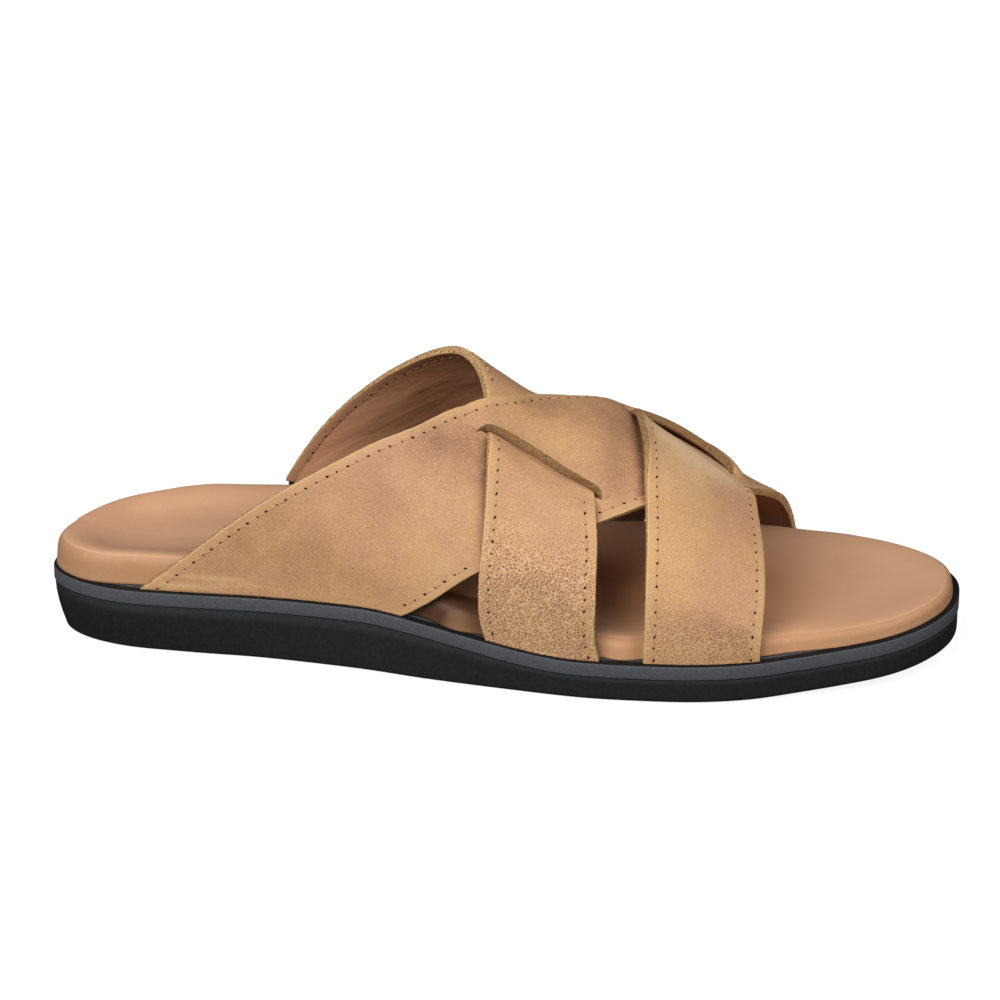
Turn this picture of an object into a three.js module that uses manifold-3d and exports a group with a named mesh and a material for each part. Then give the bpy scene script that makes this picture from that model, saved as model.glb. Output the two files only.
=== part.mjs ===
// A slip-on sandal for the right foot: a low wedge sole, a grey midsole, a wrapped footbed, and a leather
// upper of two pieces that cross over the instep. Millimetres, +Z up, toe towards +X, the inner side of the
// foot towards +Y. The origin is on the floor, below the middle of the sole.
import * as THREE from "three";
import Module from "manifold-3d";
import { mergeVertices } from "three/addons/utils/BufferGeometryUtils.js";

// Driving dimensions.
const LENGTH = 290; // outsole, heel to toe
const BALL_WIDTH = 109; // outsole, across the ball of the foot
const HEEL_HEIGHT = 21.3; // floor to the midsole's top edge, at the heel
const FORE_HEIGHT = 12.6; // floor to the midsole's top edge, at the ball
const TOE_SPRING = 7.4; // lift of the toe off the floor
const MIDSOLE_THICKNESS = 4.6;
const HEEL_DRAFT = 3.2; // how far the sole draws in towards the floor at the heel
const SOLE_BEVEL = 0.9; // along the bottom edge
const FOOTBED_HEIGHT = 9.2; // rolled edge of the footbed above the midsole, at the heel
const FOOTBED_DISH = 3.6; // how deep the heel of the foot sits in it
const ARCH_RISE = 2.4; // extra height of the footbed's edge at the arch
const HEEL_LEDGE = 1; // free top edge of the midsole behind the footbed
const TOE_LEDGE = 2.1; // and in front of it
const STRAP_SET_BACK = 1.2; // from the midsole's edge to the outer face of the leather
const LEATHER = 2.6; // strap leather with its lining
const INSTEP_HEIGHT = 90; // floor to the inside of the upper at its rear opening
const ELASTIC_THICKNESS = 1.4;
const ELASTIC_HEIGHT = 12.6; // at its tall rear end
const ELASTIC_LOW_END = 0.25; // height of its front end, as a share of the rear end's
const SEAT_GAP = 0.3; // between pieces that touch
const WALL_GAP = 0.6; // between the straps and the curved wall of the footbed
const LAYER_BITE = 0.25; // how far the crossed leathers press into each other
const LEATHER_RAMP = 7; // length over which leather climbs onto the piece below
const SLIT_RAMP = 10; // girth over which a tail changes from below the slotted piece to above it

// Half widths of the sole, as shares of the ball's width, at shares of the length from the heel.
const SOLE_PLAN = [
  { at: 0, lateral: 0.335, medial: 0.235 },
  { at: 0.12, lateral: 0.343, medial: 0.275 },
  { at: 0.17, lateral: 0.347, medial: 0.305 },
  { at: 0.25, lateral: 0.35, medial: 0.337 },
  { at: 0.35, lateral: 0.381, medial: 0.351 },
  { at: 0.43, lateral: 0.427, medial: 0.36 },
  { at: 0.52, lateral: 0.468, medial: 0.397 },
  { at: 0.6, lateral: 0.497, medial: 0.445 },
  { at: 0.66, lateral: 0.5, medial: 0.479 },
  { at: 0.72, lateral: 0.491, medial: 0.498 },
  { at: 0.78, lateral: 0.461, medial: 0.496 },
  { at: 0.84, lateral: 0.404, medial: 0.445 },
  { at: 0.9, lateral: 0.35, medial: 0.365 },
  { at: 0.95, lateral: 0.305, medial: 0.3 },
  { at: 1, lateral: 0.255, medial: 0.24 },
];

// The rounded ends of the sole: length of each rounding as a share of the length, and its squareness.
const HEEL_TIP = -0.14; // side of the rearmost point, as a share of the ball's width
const TOE_TIP = -0.015;
const ROUNDINGS = {
  lateral: { heel: 0.12, heelPower: 2, toe: 0.103, toePower: 2.6 },
  medial: { heel: 0.16, heelPower: 1.75, toe: 0.11, toePower: 2.4 },
};
const WEDGE_START = 0.35; // where the heel's height begins to fall, as a share of the length
const WEDGE_END = 0.6;
const SPRING_START = 0.7;
const SPRING_POWER = 2.3;

// The footbed's middle line, as shares of the length: its ends are the centres of the rounded heel and toe.
const SPINE_START = 0.12;
const SPINE_END = 0.87;

// Section of the footbed from its wall to the middle: in is a share of the half width, up of its edge height.
const FOOTBED_SECTION = [
  { in: 0, up: 0, dip: 0 },
  { in: 0.012, up: 0.5, dip: 0 },
  { in: 0.03, up: 0.78, dip: 0 },
  { in: 0.068, up: 0.93, dip: 0 },
  { in: 0.13, up: 1, dip: 0 },
  { in: 0.26, up: 1, dip: 0.1 },
  { in: 0.42, up: 1, dip: 0.5 },
  { in: 0.64, up: 1, dip: 0.86 },
  { in: 0.88, up: 1, dip: 1 },
];

// Edge height and dish of the footbed along the foot, as shares of their heel values.
const FOOTBED_ALONG = [
  { at: 0, edge: 1, dish: 1 },
  { at: 0.3, edge: 0.98, dish: 0.95 },
  { at: 0.5, edge: 0.84, dish: 0.6 },
  { at: 0.7, edge: 0.66, dish: 0.42 },
  { at: 0.85, edge: 0.58, dish: 0.38 },
  { at: 1, edge: 0.52, dish: 0.3 },
];

// The last under the straps: crest height as a share of the instep height, and the crest's side as a share
// of the ball's width.
const LAST = [
  { at: 0.1, crest: 1.42, side: 0.02 },
  { at: 0.23, crest: 1.25, side: 0.022 },
  { at: 0.34, crest: 1.1, side: 0.025 },
  { at: 0.44, crest: 1, side: 0.03 },
  { at: 0.48, crest: 0.9, side: 0.032 },
  { at: 0.52, crest: 0.825, side: 0.035 },
  { at: 0.56, crest: 0.788, side: 0.04 },
  { at: 0.62, crest: 0.742, side: 0.046 },
  { at: 0.7, crest: 0.63, side: 0.055 },
  { at: 0.77, crest: 0.472, side: 0.06 },
  { at: 0.83, crest: 0.375, side: 0.06 },
  { at: 0.9, crest: 0.31, side: 0.06 },
];
const LATERAL_FULLNESS = 1.8; // 2 is an ellipse, less is flatter
const MEDIAL_FULLNESS = 2;
const UPRIGHT_TURN = 0.07; // radians of each side that stay upright beside the footbed

// Edges of the slotted leather as shares of the length, at shares of the way over the foot: 0 is its lateral
// foot, 0.5 the crest and 1 its medial foot.
const SLOTTED = [
  { over: 0, rear: 0.114, front: 0.403 },
  { over: 0.1, rear: 0.228, front: 0.481 },
  { over: 0.2, rear: 0.329, front: 0.569 },
  { over: 0.3, rear: 0.42, front: 0.655 },
  { over: 0.4, rear: 0.481, front: 0.72 },
  { over: 0.5, rear: 0.53, front: 0.766 },
  { over: 0.6, rear: 0.597, front: 0.783 },
  { over: 0.7, rear: 0.634, front: 0.792 },
  { over: 0.8, rear: 0.648, front: 0.8 },
  { over: 0.9, rear: 0.655, front: 0.807 },
  { over: 1, rear: 0.659, front: 0.81 },
];
const REAR_SLIT = { over: 0.335, end: 0.595 }; // the rear tail comes out here; end is a share of the length
const FRONT_SLIT = { over: 0.52, start: 0.655 }; // the front tail comes out here

// Edges of the forked leather, and of the gap between its two tails.
const FORKED = [
  { over: 0, rear: 0.498, gapRear: 0.621, gapFront: 0.669, front: 0.788 },
  { over: 0.1, rear: 0.49, gapRear: 0.617, gapFront: 0.667, front: 0.786 },
  { over: 0.2, rear: 0.486, gapRear: 0.613, gapFront: 0.662, front: 0.784 },
  { over: 0.3, rear: 0.483, gapRear: 0.605, gapFront: 0.655, front: 0.779 },
  { over: 0.4, rear: 0.478, gapRear: 0.602, gapFront: 0.646, front: 0.767 },
  { over: 0.5, rear: 0.464, gapRear: 0.604, gapFront: 0.636, front: 0.745 },
  { over: 0.6, rear: 0.438, gapRear: 0.61, gapFront: 0.625, front: 0.715 },
  { over: 0.7, rear: 0.396, gapRear: 0.61, gapFront: 0.62, front: 0.69 },
  { over: 0.8, rear: 0.338, gapRear: 0.61, gapFront: 0.62, front: 0.668 },
  { over: 0.9, rear: 0.271, gapRear: 0.61, gapFront: 0.62, front: 0.65 },
  { over: 1, rear: 0.213, gapRear: 0.61, gapFront: 0.62, front: 0.634 },
];
const GAP_END = 0.63; // how far over the foot the gap between the tails reaches
const ELASTIC_START = 0.2; // where the elastic's cut begins, as a share of the length
const ELASTIC_END = 0.34;

// Mesh steps.
const STATIONS = 34;
const ROUND_STEPS = 7;
const STEPS_OVER = 52;
const SLOTTED_STEPS = 17;
const FORKED_STEPS = 19;
const GAP_STEPS = { along: 3, over: 24 };
const ELASTIC_STEPS = { along: 10, over: 4 };
const NORMAL_STEP = 0.002; // share of a turn and of the length between the points that give a normal

const LEATHER_TAN = new THREE.MeshStandardMaterial({ color: 0xc49a6c, roughness: 0.62, metalness: 0 });
const FOOTBED_TAN = new THREE.MeshStandardMaterial({ color: 0xcb9b74, roughness: 0.5, metalness: 0 });
const MIDSOLE_GREY = new THREE.MeshStandardMaterial({ color: 0x54585e, roughness: 0.7, metalness: 0 });
const SOLE_BLACK = new THREE.MeshStandardMaterial({ color: 0x232325, roughness: 0.85, metalness: 0 });
const ELASTIC_BLACK = new THREE.MeshStandardMaterial({ color: 0x17171a, roughness: 0.95, metalness: 0 });

const lerp = THREE.MathUtils.lerp;
const clamp = THREE.MathUtils.clamp;

function smooth(share) {
  const s = clamp(share, 0, 1);
  return s * s * (3 - 2 * s);
}

// A smooth curve through one column of a table, read at a value of its key column.
function read(table, key, column, value) {
  const last = table.length - 1;
  let i = 0;
  while (i < last - 1 && value > table[i + 1][key]) i++;
  const slope = (k) => {
    const from = table[Math.max(k - 1, 0)];
    const to = table[Math.min(k + 1, last)];
    return (to[column] - from[column]) / (to[key] - from[key]);
  };
  const [a, b] = [table[i], table[i + 1]];
  const span = b[key] - a[key];
  const u = clamp((value - a[key]) / span, 0, 1);
  return (
    a[column] * (2 * u ** 3 - 3 * u ** 2 + 1) +
    slope(i) * span * (u ** 3 - 2 * u ** 2 + u) +
    b[column] * (3 * u ** 2 - 2 * u ** 3) +
    slope(i + 1) * span * (u ** 3 - u ** 2)
  );
}

// The sole's plan.

function roundedSide(side, at) {
  const sign = side === "lateral" ? -1 : 1;
  const { heel, heelPower, toe, toePower } = ROUNDINGS[side];
  let y = sign * read(SOLE_PLAN, "at", side, at);
  if (at < heel) {
    const grow = (1 - (1 - at / heel) ** heelPower) ** (1 / heelPower);
    y = lerp(HEEL_TIP, y, grow);
  }
  if (at > 1 - toe) {
    const shrink = (1 - ((at - 1 + toe) / toe) ** toePower) ** (1 / toePower);
    y = lerp(TOE_TIP, y, shrink);
  }
  return y * BALL_WIDTH;
}

function alongX(at) {
  return (at - 0.5) * LENGTH;
}

function shareAt(x) {
  return x / LENGTH + 0.5;
}

function toeLift(at) {
  return TOE_SPRING * Math.max((at - SPRING_START) / (1 - SPRING_START), 0) ** SPRING_POWER;
}

function midsoleTop(at) {
  const wedge = 1 - smooth((at - WEDGE_START) / (WEDGE_END - WEDGE_START));
  return lerp(FORE_HEIGHT, HEEL_HEIGHT, wedge) + toeLift(at);
}

// Stations are close together where the ends are round.
function stationShares() {
  const shares = [];
  const heel = ROUNDINGS.lateral.heel;
  const toe = ROUNDINGS.lateral.toe;
  const quarterTurn = (i) => (i / ROUND_STEPS) * (Math.PI / 2);
  for (let i = 1; i <= ROUND_STEPS; i++) {
    shares.push(heel * (1 - Math.cos(quarterTurn(i))));
  }
  const middle = STATIONS - 2 * ROUND_STEPS;
  for (let i = 1; i <= middle; i++) {
    shares.push(lerp(heel, 1 - toe, i / (middle + 1)));
  }
  for (let i = 0; i < ROUND_STEPS; i++) {
    shares.push(1 - toe * (1 - Math.sin(quarterTurn(i))));
  }
  return shares;
}

// Points round the sole, counterclockwise from above: heel tip, lateral side, toe tip, medial side.
function outlinePoints() {
  const shares = stationShares();
  const outline = [{ at: 0, x: alongX(0), y: HEEL_TIP * BALL_WIDTH }];
  for (const at of shares) {
    outline.push({ at, x: alongX(at), y: roundedSide("lateral", at) });
  }
  outline.push({ at: 1, x: alongX(1), y: TOE_TIP * BALL_WIDTH });
  for (const at of shares.toReversed()) {
    outline.push({ at, x: alongX(at), y: roundedSide("medial", at) });
  }
  for (const p of outline) {
    const spineAt = clamp(p.at, SPINE_START, SPINE_END);
    const middle = (roundedSide("lateral", spineAt) + roundedSide("medial", spineAt)) / 2;
    const inward = new THREE.Vector2(alongX(spineAt) - p.x, middle - p.y);
    p.reach = inward.length();
    p.inward = inward.normalize();
    p.medial = p.y > middle ? 1 : 0;
  }
  return outline;
}

const OUTLINE = outlinePoints();

// One ring round the sole: inset(p) moves each point inwards, height(p, x) gives its z.
function ring(inset, height) {
  return OUTLINE.map((p) => {
    const move = inset(p);
    const x = p.x + p.inward.x * move;
    const y = p.y + p.inward.y * move;
    return [x, y, height(p, x)];
  });
}

// Closes rings, lowest first, into a solid, with a strip across its bottom and its top.
function stackRings(rings) {
  const count = OUTLINE.length;
  const positions = rings.flat(2);
  const index = [];
  rings.slice(1).forEach((_, r) => {
    for (let i = 0; i < count; i++) {
      const j = (i + 1) % count;
      const [a, b, c, d] = [r * count + i, r * count + j, (r + 1) * count + j, (r + 1) * count + i];
      index.push(a, b, c, a, c, d);
    }
  });
  const cap = (base, flip) => {
    const add = (a, b, c) => index.push(base + a, base + (flip ? c : b), base + (flip ? b : c));
    const half = count / 2;
    add(0, 1, count - 1);
    for (let k = 1; k < half - 1; k++) {
      add(k, k + 1, count - k - 1);
      add(k, count - k - 1, count - k);
    }
    add(half - 1, half, half + 1);
  };
  cap(0, true);
  cap((rings.length - 1) * count, false);
  return indexedGeometry(positions, index);
}

function indexedGeometry(positions, index) {
  const geometry = new THREE.BufferGeometry();
  geometry.setAttribute("position", new THREE.Float32BufferAttribute(positions, 3));
  geometry.setIndex(index);
  return geometry;
}

// The sole draws in towards the floor, most at the back of the heel.
function draft(p) {
  return lerp(HEEL_DRAFT, SEAT_GAP, smooth(p.at / WEDGE_START));
}

function outsole() {
  const top = (p, x) => midsoleTop(shareAt(x)) - MIDSOLE_THICKNESS - SEAT_GAP;
  const bottom = (p, x) => toeLift(shareAt(x));
  return stackRings([
    ring((p) => draft(p) + SOLE_BEVEL, bottom),
    ring((p) => draft(p), (p, x) => bottom(p, x) + SOLE_BEVEL),
    ring(() => SEAT_GAP, top),
  ]);
}

function midsole() {
  return stackRings([
    ring(() => SEAT_GAP / 2, (p, x) => midsoleTop(shareAt(x)) - MIDSOLE_THICKNESS),
    ring(() => 0, (p, x) => midsoleTop(shareAt(x))),
  ]);
}

// From the midsole's edge to the footbed's wall: wider where the straps come down between the two.
function ledgeWidth(at) {
  const strapped = STRAP_SET_BACK + LEATHER + WALL_GAP;
  const [first, last] = [SLOTTED[0].rear, SLOTTED.at(-1).front];
  const fade = LEATHER_RAMP / LENGTH;
  const inside = Math.min(smooth((at - first + fade) / fade), smooth((last - at + fade) / fade));
  return lerp(lerp(HEEL_LEDGE, TOE_LEDGE, at), strapped, inside);
}

function footbedEdge(p) {
  const arch = p.medial * Math.exp(-(((p.at - WEDGE_START) / (WEDGE_END - WEDGE_START)) ** 2) * 2);
  return FOOTBED_HEIGHT * read(FOOTBED_ALONG, "at", "edge", p.at) + ARCH_RISE * arch;
}

function footbed() {
  return stackRings(
    FOOTBED_SECTION.map((row) =>
      ring(
        (p) => lerp(ledgeWidth(p.at), p.reach, row.in),
        (p, x) => {
          const dish = FOOTBED_DISH * read(FOOTBED_ALONG, "at", "dish", p.at);
          return midsoleTop(shareAt(x)) + SEAT_GAP + footbedEdge(p) * row.up - dish * row.dip;
        },
      ),
    ),
  );
}

// The last: a point on the inside of the leather, at a share of the length and of the way over the foot.
// Past either end of the way over, it goes straight down.
function lastPoint(at, over) {
  const base = midsoleTop(at) + SEAT_GAP;
  const rise = INSTEP_HEIGHT * read(LAST, "at", "crest", at) - base;
  const crestSide = BALL_WIDTH * read(LAST, "at", "side", at);
  const lateral = over < 0.5;
  const turn = Math.PI * (lateral ? over : 1 - over);
  const power = 2 / (lateral ? LATERAL_FULLNESS : MEDIAL_FULLNESS);
  const inset = STRAP_SET_BACK + LEATHER;
  const foot = lateral ? roundedSide("lateral", at) + inset : roundedSide("medial", at) - inset;
  const lean = Math.max(turn - UPRIGHT_TURN, 0) / (1 - (2 * UPRIGHT_TURN) / Math.PI);
  const out = Math.max(Math.cos(lean), 0) ** power;
  const y = lerp(crestSide, foot, out);
  const below = Math.PI * rise * Math.max(-over, over - 1, 0);
  return new THREE.Vector3(alongX(at), y, base + rise * Math.max(Math.sin(turn), 0) ** power - below);
}

function lastNormal(at, over) {
  const step = NORMAL_STEP;
  const along = lastPoint(at + step, over).sub(lastPoint(at - step, over));
  const across = lastPoint(at, over + step).sub(lastPoint(at, over - step));
  const normal = along.cross(across);
  if (over < step || over > 1 - step) normal.setZ(0);
  return normal.normalize();
}

// How far over the foot a height above the midsole is, on the medial side.
function overAtRise(at, height) {
  const rise = INSTEP_HEIGHT * read(LAST, "at", "crest", at) - midsoleTop(at);
  return 1 - Math.asin((height / rise) ** (MEDIAL_FULLNESS / 2)) / Math.PI;
}

function edgeAt(leather, edge, over) {
  return read(leather, "over", edge, over);
}

// The line where the tails come out, from the rear slit to the front one.
function slitOver(at) {
  const { over: rear, end } = REAR_SLIT;
  const { over: front, start } = FRONT_SLIT;
  return lerp(rear, front, smooth((at - end) / (start - end)));
}

// 1 where the forked piece lies under the slotted one, 0 where it has come out on top through its slits.
function forkIsUnder(at, over) {
  const girth = Math.PI * (INSTEP_HEIGHT - FORE_HEIGHT);
  return smooth(0.5 + ((over - slitOver(at)) * girth) / SLIT_RAMP);
}

// 1 between the edges of a leather, fading to 0 a ramp's length outside them.
function within(leather, at, over) {
  const inside = Math.min(edgeAt(leather, "front", over) - at, at - edgeAt(leather, "rear", over));
  return smooth(1 + (inside * LENGTH) / LEATHER_RAMP);
}

function slottedLift(at, over) {
  return (LEATHER - LAYER_BITE) * forkIsUnder(at, over) * within(FORKED, at, over);
}

function forkedLift(at, over) {
  return (LEATHER - LAYER_BITE) * (1 - forkIsUnder(at, over)) * within(SLOTTED, at, over);
}

// A closed sheet on the last: place(u, v) gives the shares of the length and of the way over the foot.
function sheet(stepsU, stepsV, place, inner, outer) {
  const positions = [];
  const index = [];
  for (const layer of [inner, outer]) {
    for (let j = 0; j <= stepsV; j++) {
      for (let i = 0; i <= stepsU; i++) {
        const [at, over] = place(i / stepsU, j / stepsV);
        const p = lastPoint(at, over).addScaledVector(lastNormal(at, over), layer(at, over));
        positions.push(p.x, p.y, p.z);
      }
    }
  }
  const row = stepsU + 1;
  const outerStart = row * (stepsV + 1);
  const quad = (a, b, c, d) => index.push(a, b, c, a, c, d);
  for (let j = 0; j < stepsV; j++) {
    for (let i = 0; i < stepsU; i++) {
      const [a, b, c, d] = [j * row + i, j * row + i + 1, (j + 1) * row + i + 1, (j + 1) * row + i];
      quad(a, d, c, b);
      quad(outerStart + a, outerStart + b, outerStart + c, outerStart + d);
    }
  }
  for (let i = 0; i < stepsU; i++) {
    const top = stepsV * row;
    quad(i, i + 1, outerStart + i + 1, outerStart + i);
    quad(top + i + 1, top + i, outerStart + top + i, outerStart + top + i + 1);
  }
  for (let j = 0; j < stepsV; j++) {
    const [a, b] = [j * row, (j + 1) * row];
    quad(b, a, outerStart + a, outerStart + b);
    quad(a + stepsU, b + stepsU, outerStart + b + stepsU, outerStart + a + stepsU);
  }
  return indexedGeometry(positions, index);
}

function band(leather, lift, stepsAlong) {
  const place = (u, v) => [lerp(edgeAt(leather, "rear", v), edgeAt(leather, "front", v), u), v];
  return sheet(stepsAlong, STEPS_OVER, place, lift, (at, over) => lift(at, over) + LEATHER);
}

// A cutter reaches past both faces of the leather, and past the leather's foot.
const cutInner = () => -2 * LEATHER;
const cutOuter = () => 4 * LEATHER;
const CUT_PAST_FOOT = 0.03; // share of the way over the foot

function gapCutter() {
  const place = (u, v) => {
    const over = lerp(-CUT_PAST_FOOT, GAP_END, v);
    return [lerp(edgeAt(FORKED, "gapRear", over), edgeAt(FORKED, "gapFront", over), u), over];
  };
  return sheet(GAP_STEPS.along, GAP_STEPS.over, place, cutInner, cutOuter);
}

// The medial corner of the forked piece stops short of the sole, and elastic carries it from there.
function elasticHeight(at) {
  const along = (at - ELASTIC_START) / (ELASTIC_END - ELASTIC_START);
  return ELASTIC_HEIGHT * lerp(1, ELASTIC_LOW_END, Math.max(along, 0));
}

function elasticCutter() {
  const place = (u, v) => {
    const start = edgeAt(FORKED, "rear", 1) - LEATHER_RAMP / LENGTH;
    const at = lerp(start, ELASTIC_END + SEAT_GAP / LENGTH, u);
    return [at, lerp(overAtRise(at, elasticHeight(at) + SEAT_GAP), 1 + CUT_PAST_FOOT, v)];
  };
  return sheet(ELASTIC_STEPS.along, ELASTIC_STEPS.over, place, cutInner, cutOuter);
}

function elastic() {
  const start = edgeAt(FORKED, "rear", overAtRise(ELASTIC_START, ELASTIC_HEIGHT));
  const margin = (LEATHER - ELASTIC_THICKNESS) / 2;
  const place = (u, v) => {
    const at = lerp(start, ELASTIC_END, u);
    return [at, lerp(overAtRise(at, elasticHeight(at)), 1, v)];
  };
  const outer = () => margin + ELASTIC_THICKNESS;
  return sheet(ELASTIC_STEPS.along, ELASTIC_STEPS.over, place, () => margin, outer);
}

// Solid bodies, so that the two leathers can be cut and joined where they cross.
const wasm = await Module();
wasm.setup();

function solid(geometry) {
  const merged = mergeVertices(geometry);
  return new wasm.Manifold(
    new wasm.Mesh({
      numProp: 3,
      vertProperties: merged.attributes.position.array,
      triVerts: new Uint32Array(merged.index.array),
    }),
  );
}

function geometryOf(body) {
  const mesh = body.getMesh();
  return indexedGeometry(Array.from(mesh.vertProperties), Array.from(mesh.triVerts));
}

function upper() {
  const slotted = solid(band(SLOTTED, slottedLift, SLOTTED_STEPS));
  const forked = solid(band(FORKED, forkedLift, FORKED_STEPS));
  const tails = forked.subtract(solid(gapCutter())).subtract(solid(elasticCutter()));
  return geometryOf(slotted.add(tails));
}

function piece(name, geometry, material) {
  const shaded = geometry.toNonIndexed();
  shaded.computeVertexNormals();
  const mesh = new THREE.Mesh(shaded, material);
  mesh.name = name;
  return mesh;
}

const sandal = new THREE.Group();
sandal.name = "sandal";
sandal.add(
  piece("outsole", outsole(), SOLE_BLACK),
  piece("midsole", midsole(), MIDSOLE_GREY),
  piece("insole", footbed(), FOOTBED_TAN),
  piece("upper", upper(), LEATHER_TAN),
  piece("elastic_gore", elastic(), ELASTIC_BLACK),
);

export default sandal;
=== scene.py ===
# Looks of a slip-on sandal for the right foot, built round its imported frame.
# Lengths are in millimetres until a mesh is made. X runs from heel to toe, Y towards the inner side of the
# foot, Z up from the floor. A place on the leather is a share of the length (at) and of the way over the
# foot (over): over is 0 at the lateral foot of the straps, 0.5 at the crest and 1 at the medial foot.
import math

import bpy
import numpy as np
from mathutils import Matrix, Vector
from mathutils.bvhtree import BVHTree


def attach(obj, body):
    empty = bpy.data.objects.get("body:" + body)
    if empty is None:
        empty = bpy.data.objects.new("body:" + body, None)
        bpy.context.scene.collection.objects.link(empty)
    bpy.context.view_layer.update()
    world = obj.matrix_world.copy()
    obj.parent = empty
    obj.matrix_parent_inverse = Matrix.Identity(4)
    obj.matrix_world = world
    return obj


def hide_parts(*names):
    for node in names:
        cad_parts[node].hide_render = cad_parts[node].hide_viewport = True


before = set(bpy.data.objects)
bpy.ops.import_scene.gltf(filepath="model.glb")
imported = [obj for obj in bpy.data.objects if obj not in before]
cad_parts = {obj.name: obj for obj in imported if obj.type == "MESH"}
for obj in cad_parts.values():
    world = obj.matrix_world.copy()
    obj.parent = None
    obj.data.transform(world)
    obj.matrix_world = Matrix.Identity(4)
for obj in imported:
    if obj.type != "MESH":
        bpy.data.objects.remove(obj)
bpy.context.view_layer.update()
MM = 0.001
RANDOM = np.random.default_rng(7)

# Driving dimensions, as in the frame.
LENGTH = 290
BALL_WIDTH = 109
HEEL_HEIGHT = 21.3
FORE_HEIGHT = 12.6
TOE_SPRING = 7.4
MIDSOLE_THICKNESS = 4.6
HEEL_DRAFT = 3.2
SOLE_BEVEL = 1.3
FOOTBED_HEIGHT = 9.2
FOOTBED_DISH = 3.6
ARCH_RISE = 2.4
HEEL_LEDGE = 1
TOE_LEDGE = 2.1
STRAP_SET_BACK = 1.2
LEATHER = 2.6
INSTEP_HEIGHT = 90
ELASTIC_THICKNESS = 1.4
ELASTIC_HEIGHT = 12.6
ELASTIC_LOW_END = 0.25
SEAT_GAP = 0.3
WALL_GAP = 0.6
LEATHER_RAMP = 7
LEDGE_FADE = 22


def table(columns, *rows):
    """The named columns of a short table, as arrays."""
    values = np.array(rows, float)
    return {name: values[:, i] for i, name in enumerate(columns.split())}


# Half widths of the sole, as shares of the ball's width, at shares of the length from the heel.
SOLE_PLAN = table(
    "at lateral medial",
    (0, 0.335, 0.235),
    (0.12, 0.343, 0.275),
    (0.17, 0.347, 0.305),
    (0.25, 0.35, 0.337),
    (0.35, 0.381, 0.351),
    (0.43, 0.427, 0.36),
    (0.52, 0.468, 0.397),
    (0.6, 0.497, 0.445),
    (0.66, 0.5, 0.479),
    (0.72, 0.491, 0.498),
    (0.78, 0.461, 0.496),
    (0.84, 0.404, 0.445),
    (0.9, 0.35, 0.365),
    (0.95, 0.305, 0.3),
    (1, 0.255, 0.24),
)
HEEL_TIP = -0.14
TOE_TIP = -0.015
ROUNDINGS = {
    "lateral": {"heel": 0.12, "heel_power": 2, "toe": 0.103, "toe_power": 2.6},
    "medial": {"heel": 0.16, "heel_power": 1.75, "toe": 0.11, "toe_power": 2.4},
}
WEDGE_START = 0.35
WEDGE_END = 0.6
SPRING_START = 0.7
SPRING_POWER = 2.3
SPINE_START = 0.12
SPINE_END = 0.87

# Section of the footbed from its wall to the middle, and its edge height and dish along the foot.
FOOTBED_SECTION = table(
    "step inward up dip",
    (0, 0, 0, 0),
    (1, 0.008, 0.3, 0),
    (2, 0.016, 0.58, 0),
    (3, 0.033, 0.8, 0),
    (4, 0.068, 0.94, 0),
    (5, 0.13, 1, 0),
    (6, 0.26, 1, 0.1),
    (7, 0.42, 1, 0.5),
    (8, 0.64, 1, 0.86),
    (9, 0.94, 1, 1),
)
FOOTBED_ALONG = table(
    "at edge dish",
    (0, 1, 1),
    (0.3, 0.98, 0.95),
    (0.5, 0.84, 0.6),
    (0.7, 0.66, 0.42),
    (0.85, 0.58, 0.38),
    (1, 0.52, 0.3),
)

# The last under the straps: crest height as a share of the instep's, crest side as a share of the width.
LAST = table(
    "at crest side",
    (0.1, 1.42, 0.02),
    (0.23, 1.25, 0.022),
    (0.34, 1.1, 0.025),
    (0.44, 1, 0.03),
    (0.48, 0.914, 0.032),
    (0.52, 0.828, 0.035),
    (0.56, 0.791, 0.04),
    (0.61, 0.766, 0.046),
    (0.7, 0.612, 0.055),
    (0.77, 0.467, 0.06),
    (0.83, 0.362, 0.06),
    (0.9, 0.31, 0.06),
)
LATERAL_FULLNESS = 1.8
MEDIAL_FULLNESS = 2
UPRIGHT_TURN = 0.07

# Edges of the two leathers, as shares of the length.
SLOTTED = table(
    "over rear front",
    (0, 0.112, 0.405),
    (0.05, 0.166, 0.443),
    (0.1, 0.2205, 0.4765),
    (0.15, 0.275, 0.514),
    (0.2, 0.3255, 0.564),
    (0.25, 0.374, 0.613),
    (0.3, 0.4205, 0.65),
    (0.4, 0.479, 0.71),
    (0.5, 0.529, 0.746),
    (0.6, 0.597, 0.7735),
    (0.7, 0.634, 0.79),
    (0.8, 0.648, 0.798),
    (0.9, 0.655, 0.805),
    (1, 0.659, 0.81),
)
FORKED = table(
    "over rear gap_rear gap_front front",
    (0, 0.4985, 0.6208, 0.669, 0.789),
    (0.05, 0.4925, 0.6155, 0.669, 0.789),
    (0.1, 0.4915, 0.6145, 0.669, 0.789),
    (0.2, 0.4913, 0.6125, 0.6653, 0.7875),
    (0.3, 0.4862, 0.6035, 0.658, 0.781),
    (0.4, 0.48, 0.6, 0.648, 0.771),
    (0.5, 0.464, 0.602, 0.635, 0.7585),
    (0.6, 0.436, 0.607, 0.624, 0.728),
    (0.7, 0.391, 0.61, 0.62, 0.69),
    (0.8, 0.331, 0.61, 0.62, 0.668),
    (0.9, 0.268, 0.61, 0.62, 0.65),
    (1, 0.213, 0.61, 0.62, 0.634),
)
GAP_END = 0.63
ELASTIC_START = 0.2
ELASTIC_END = 0.34

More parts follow.
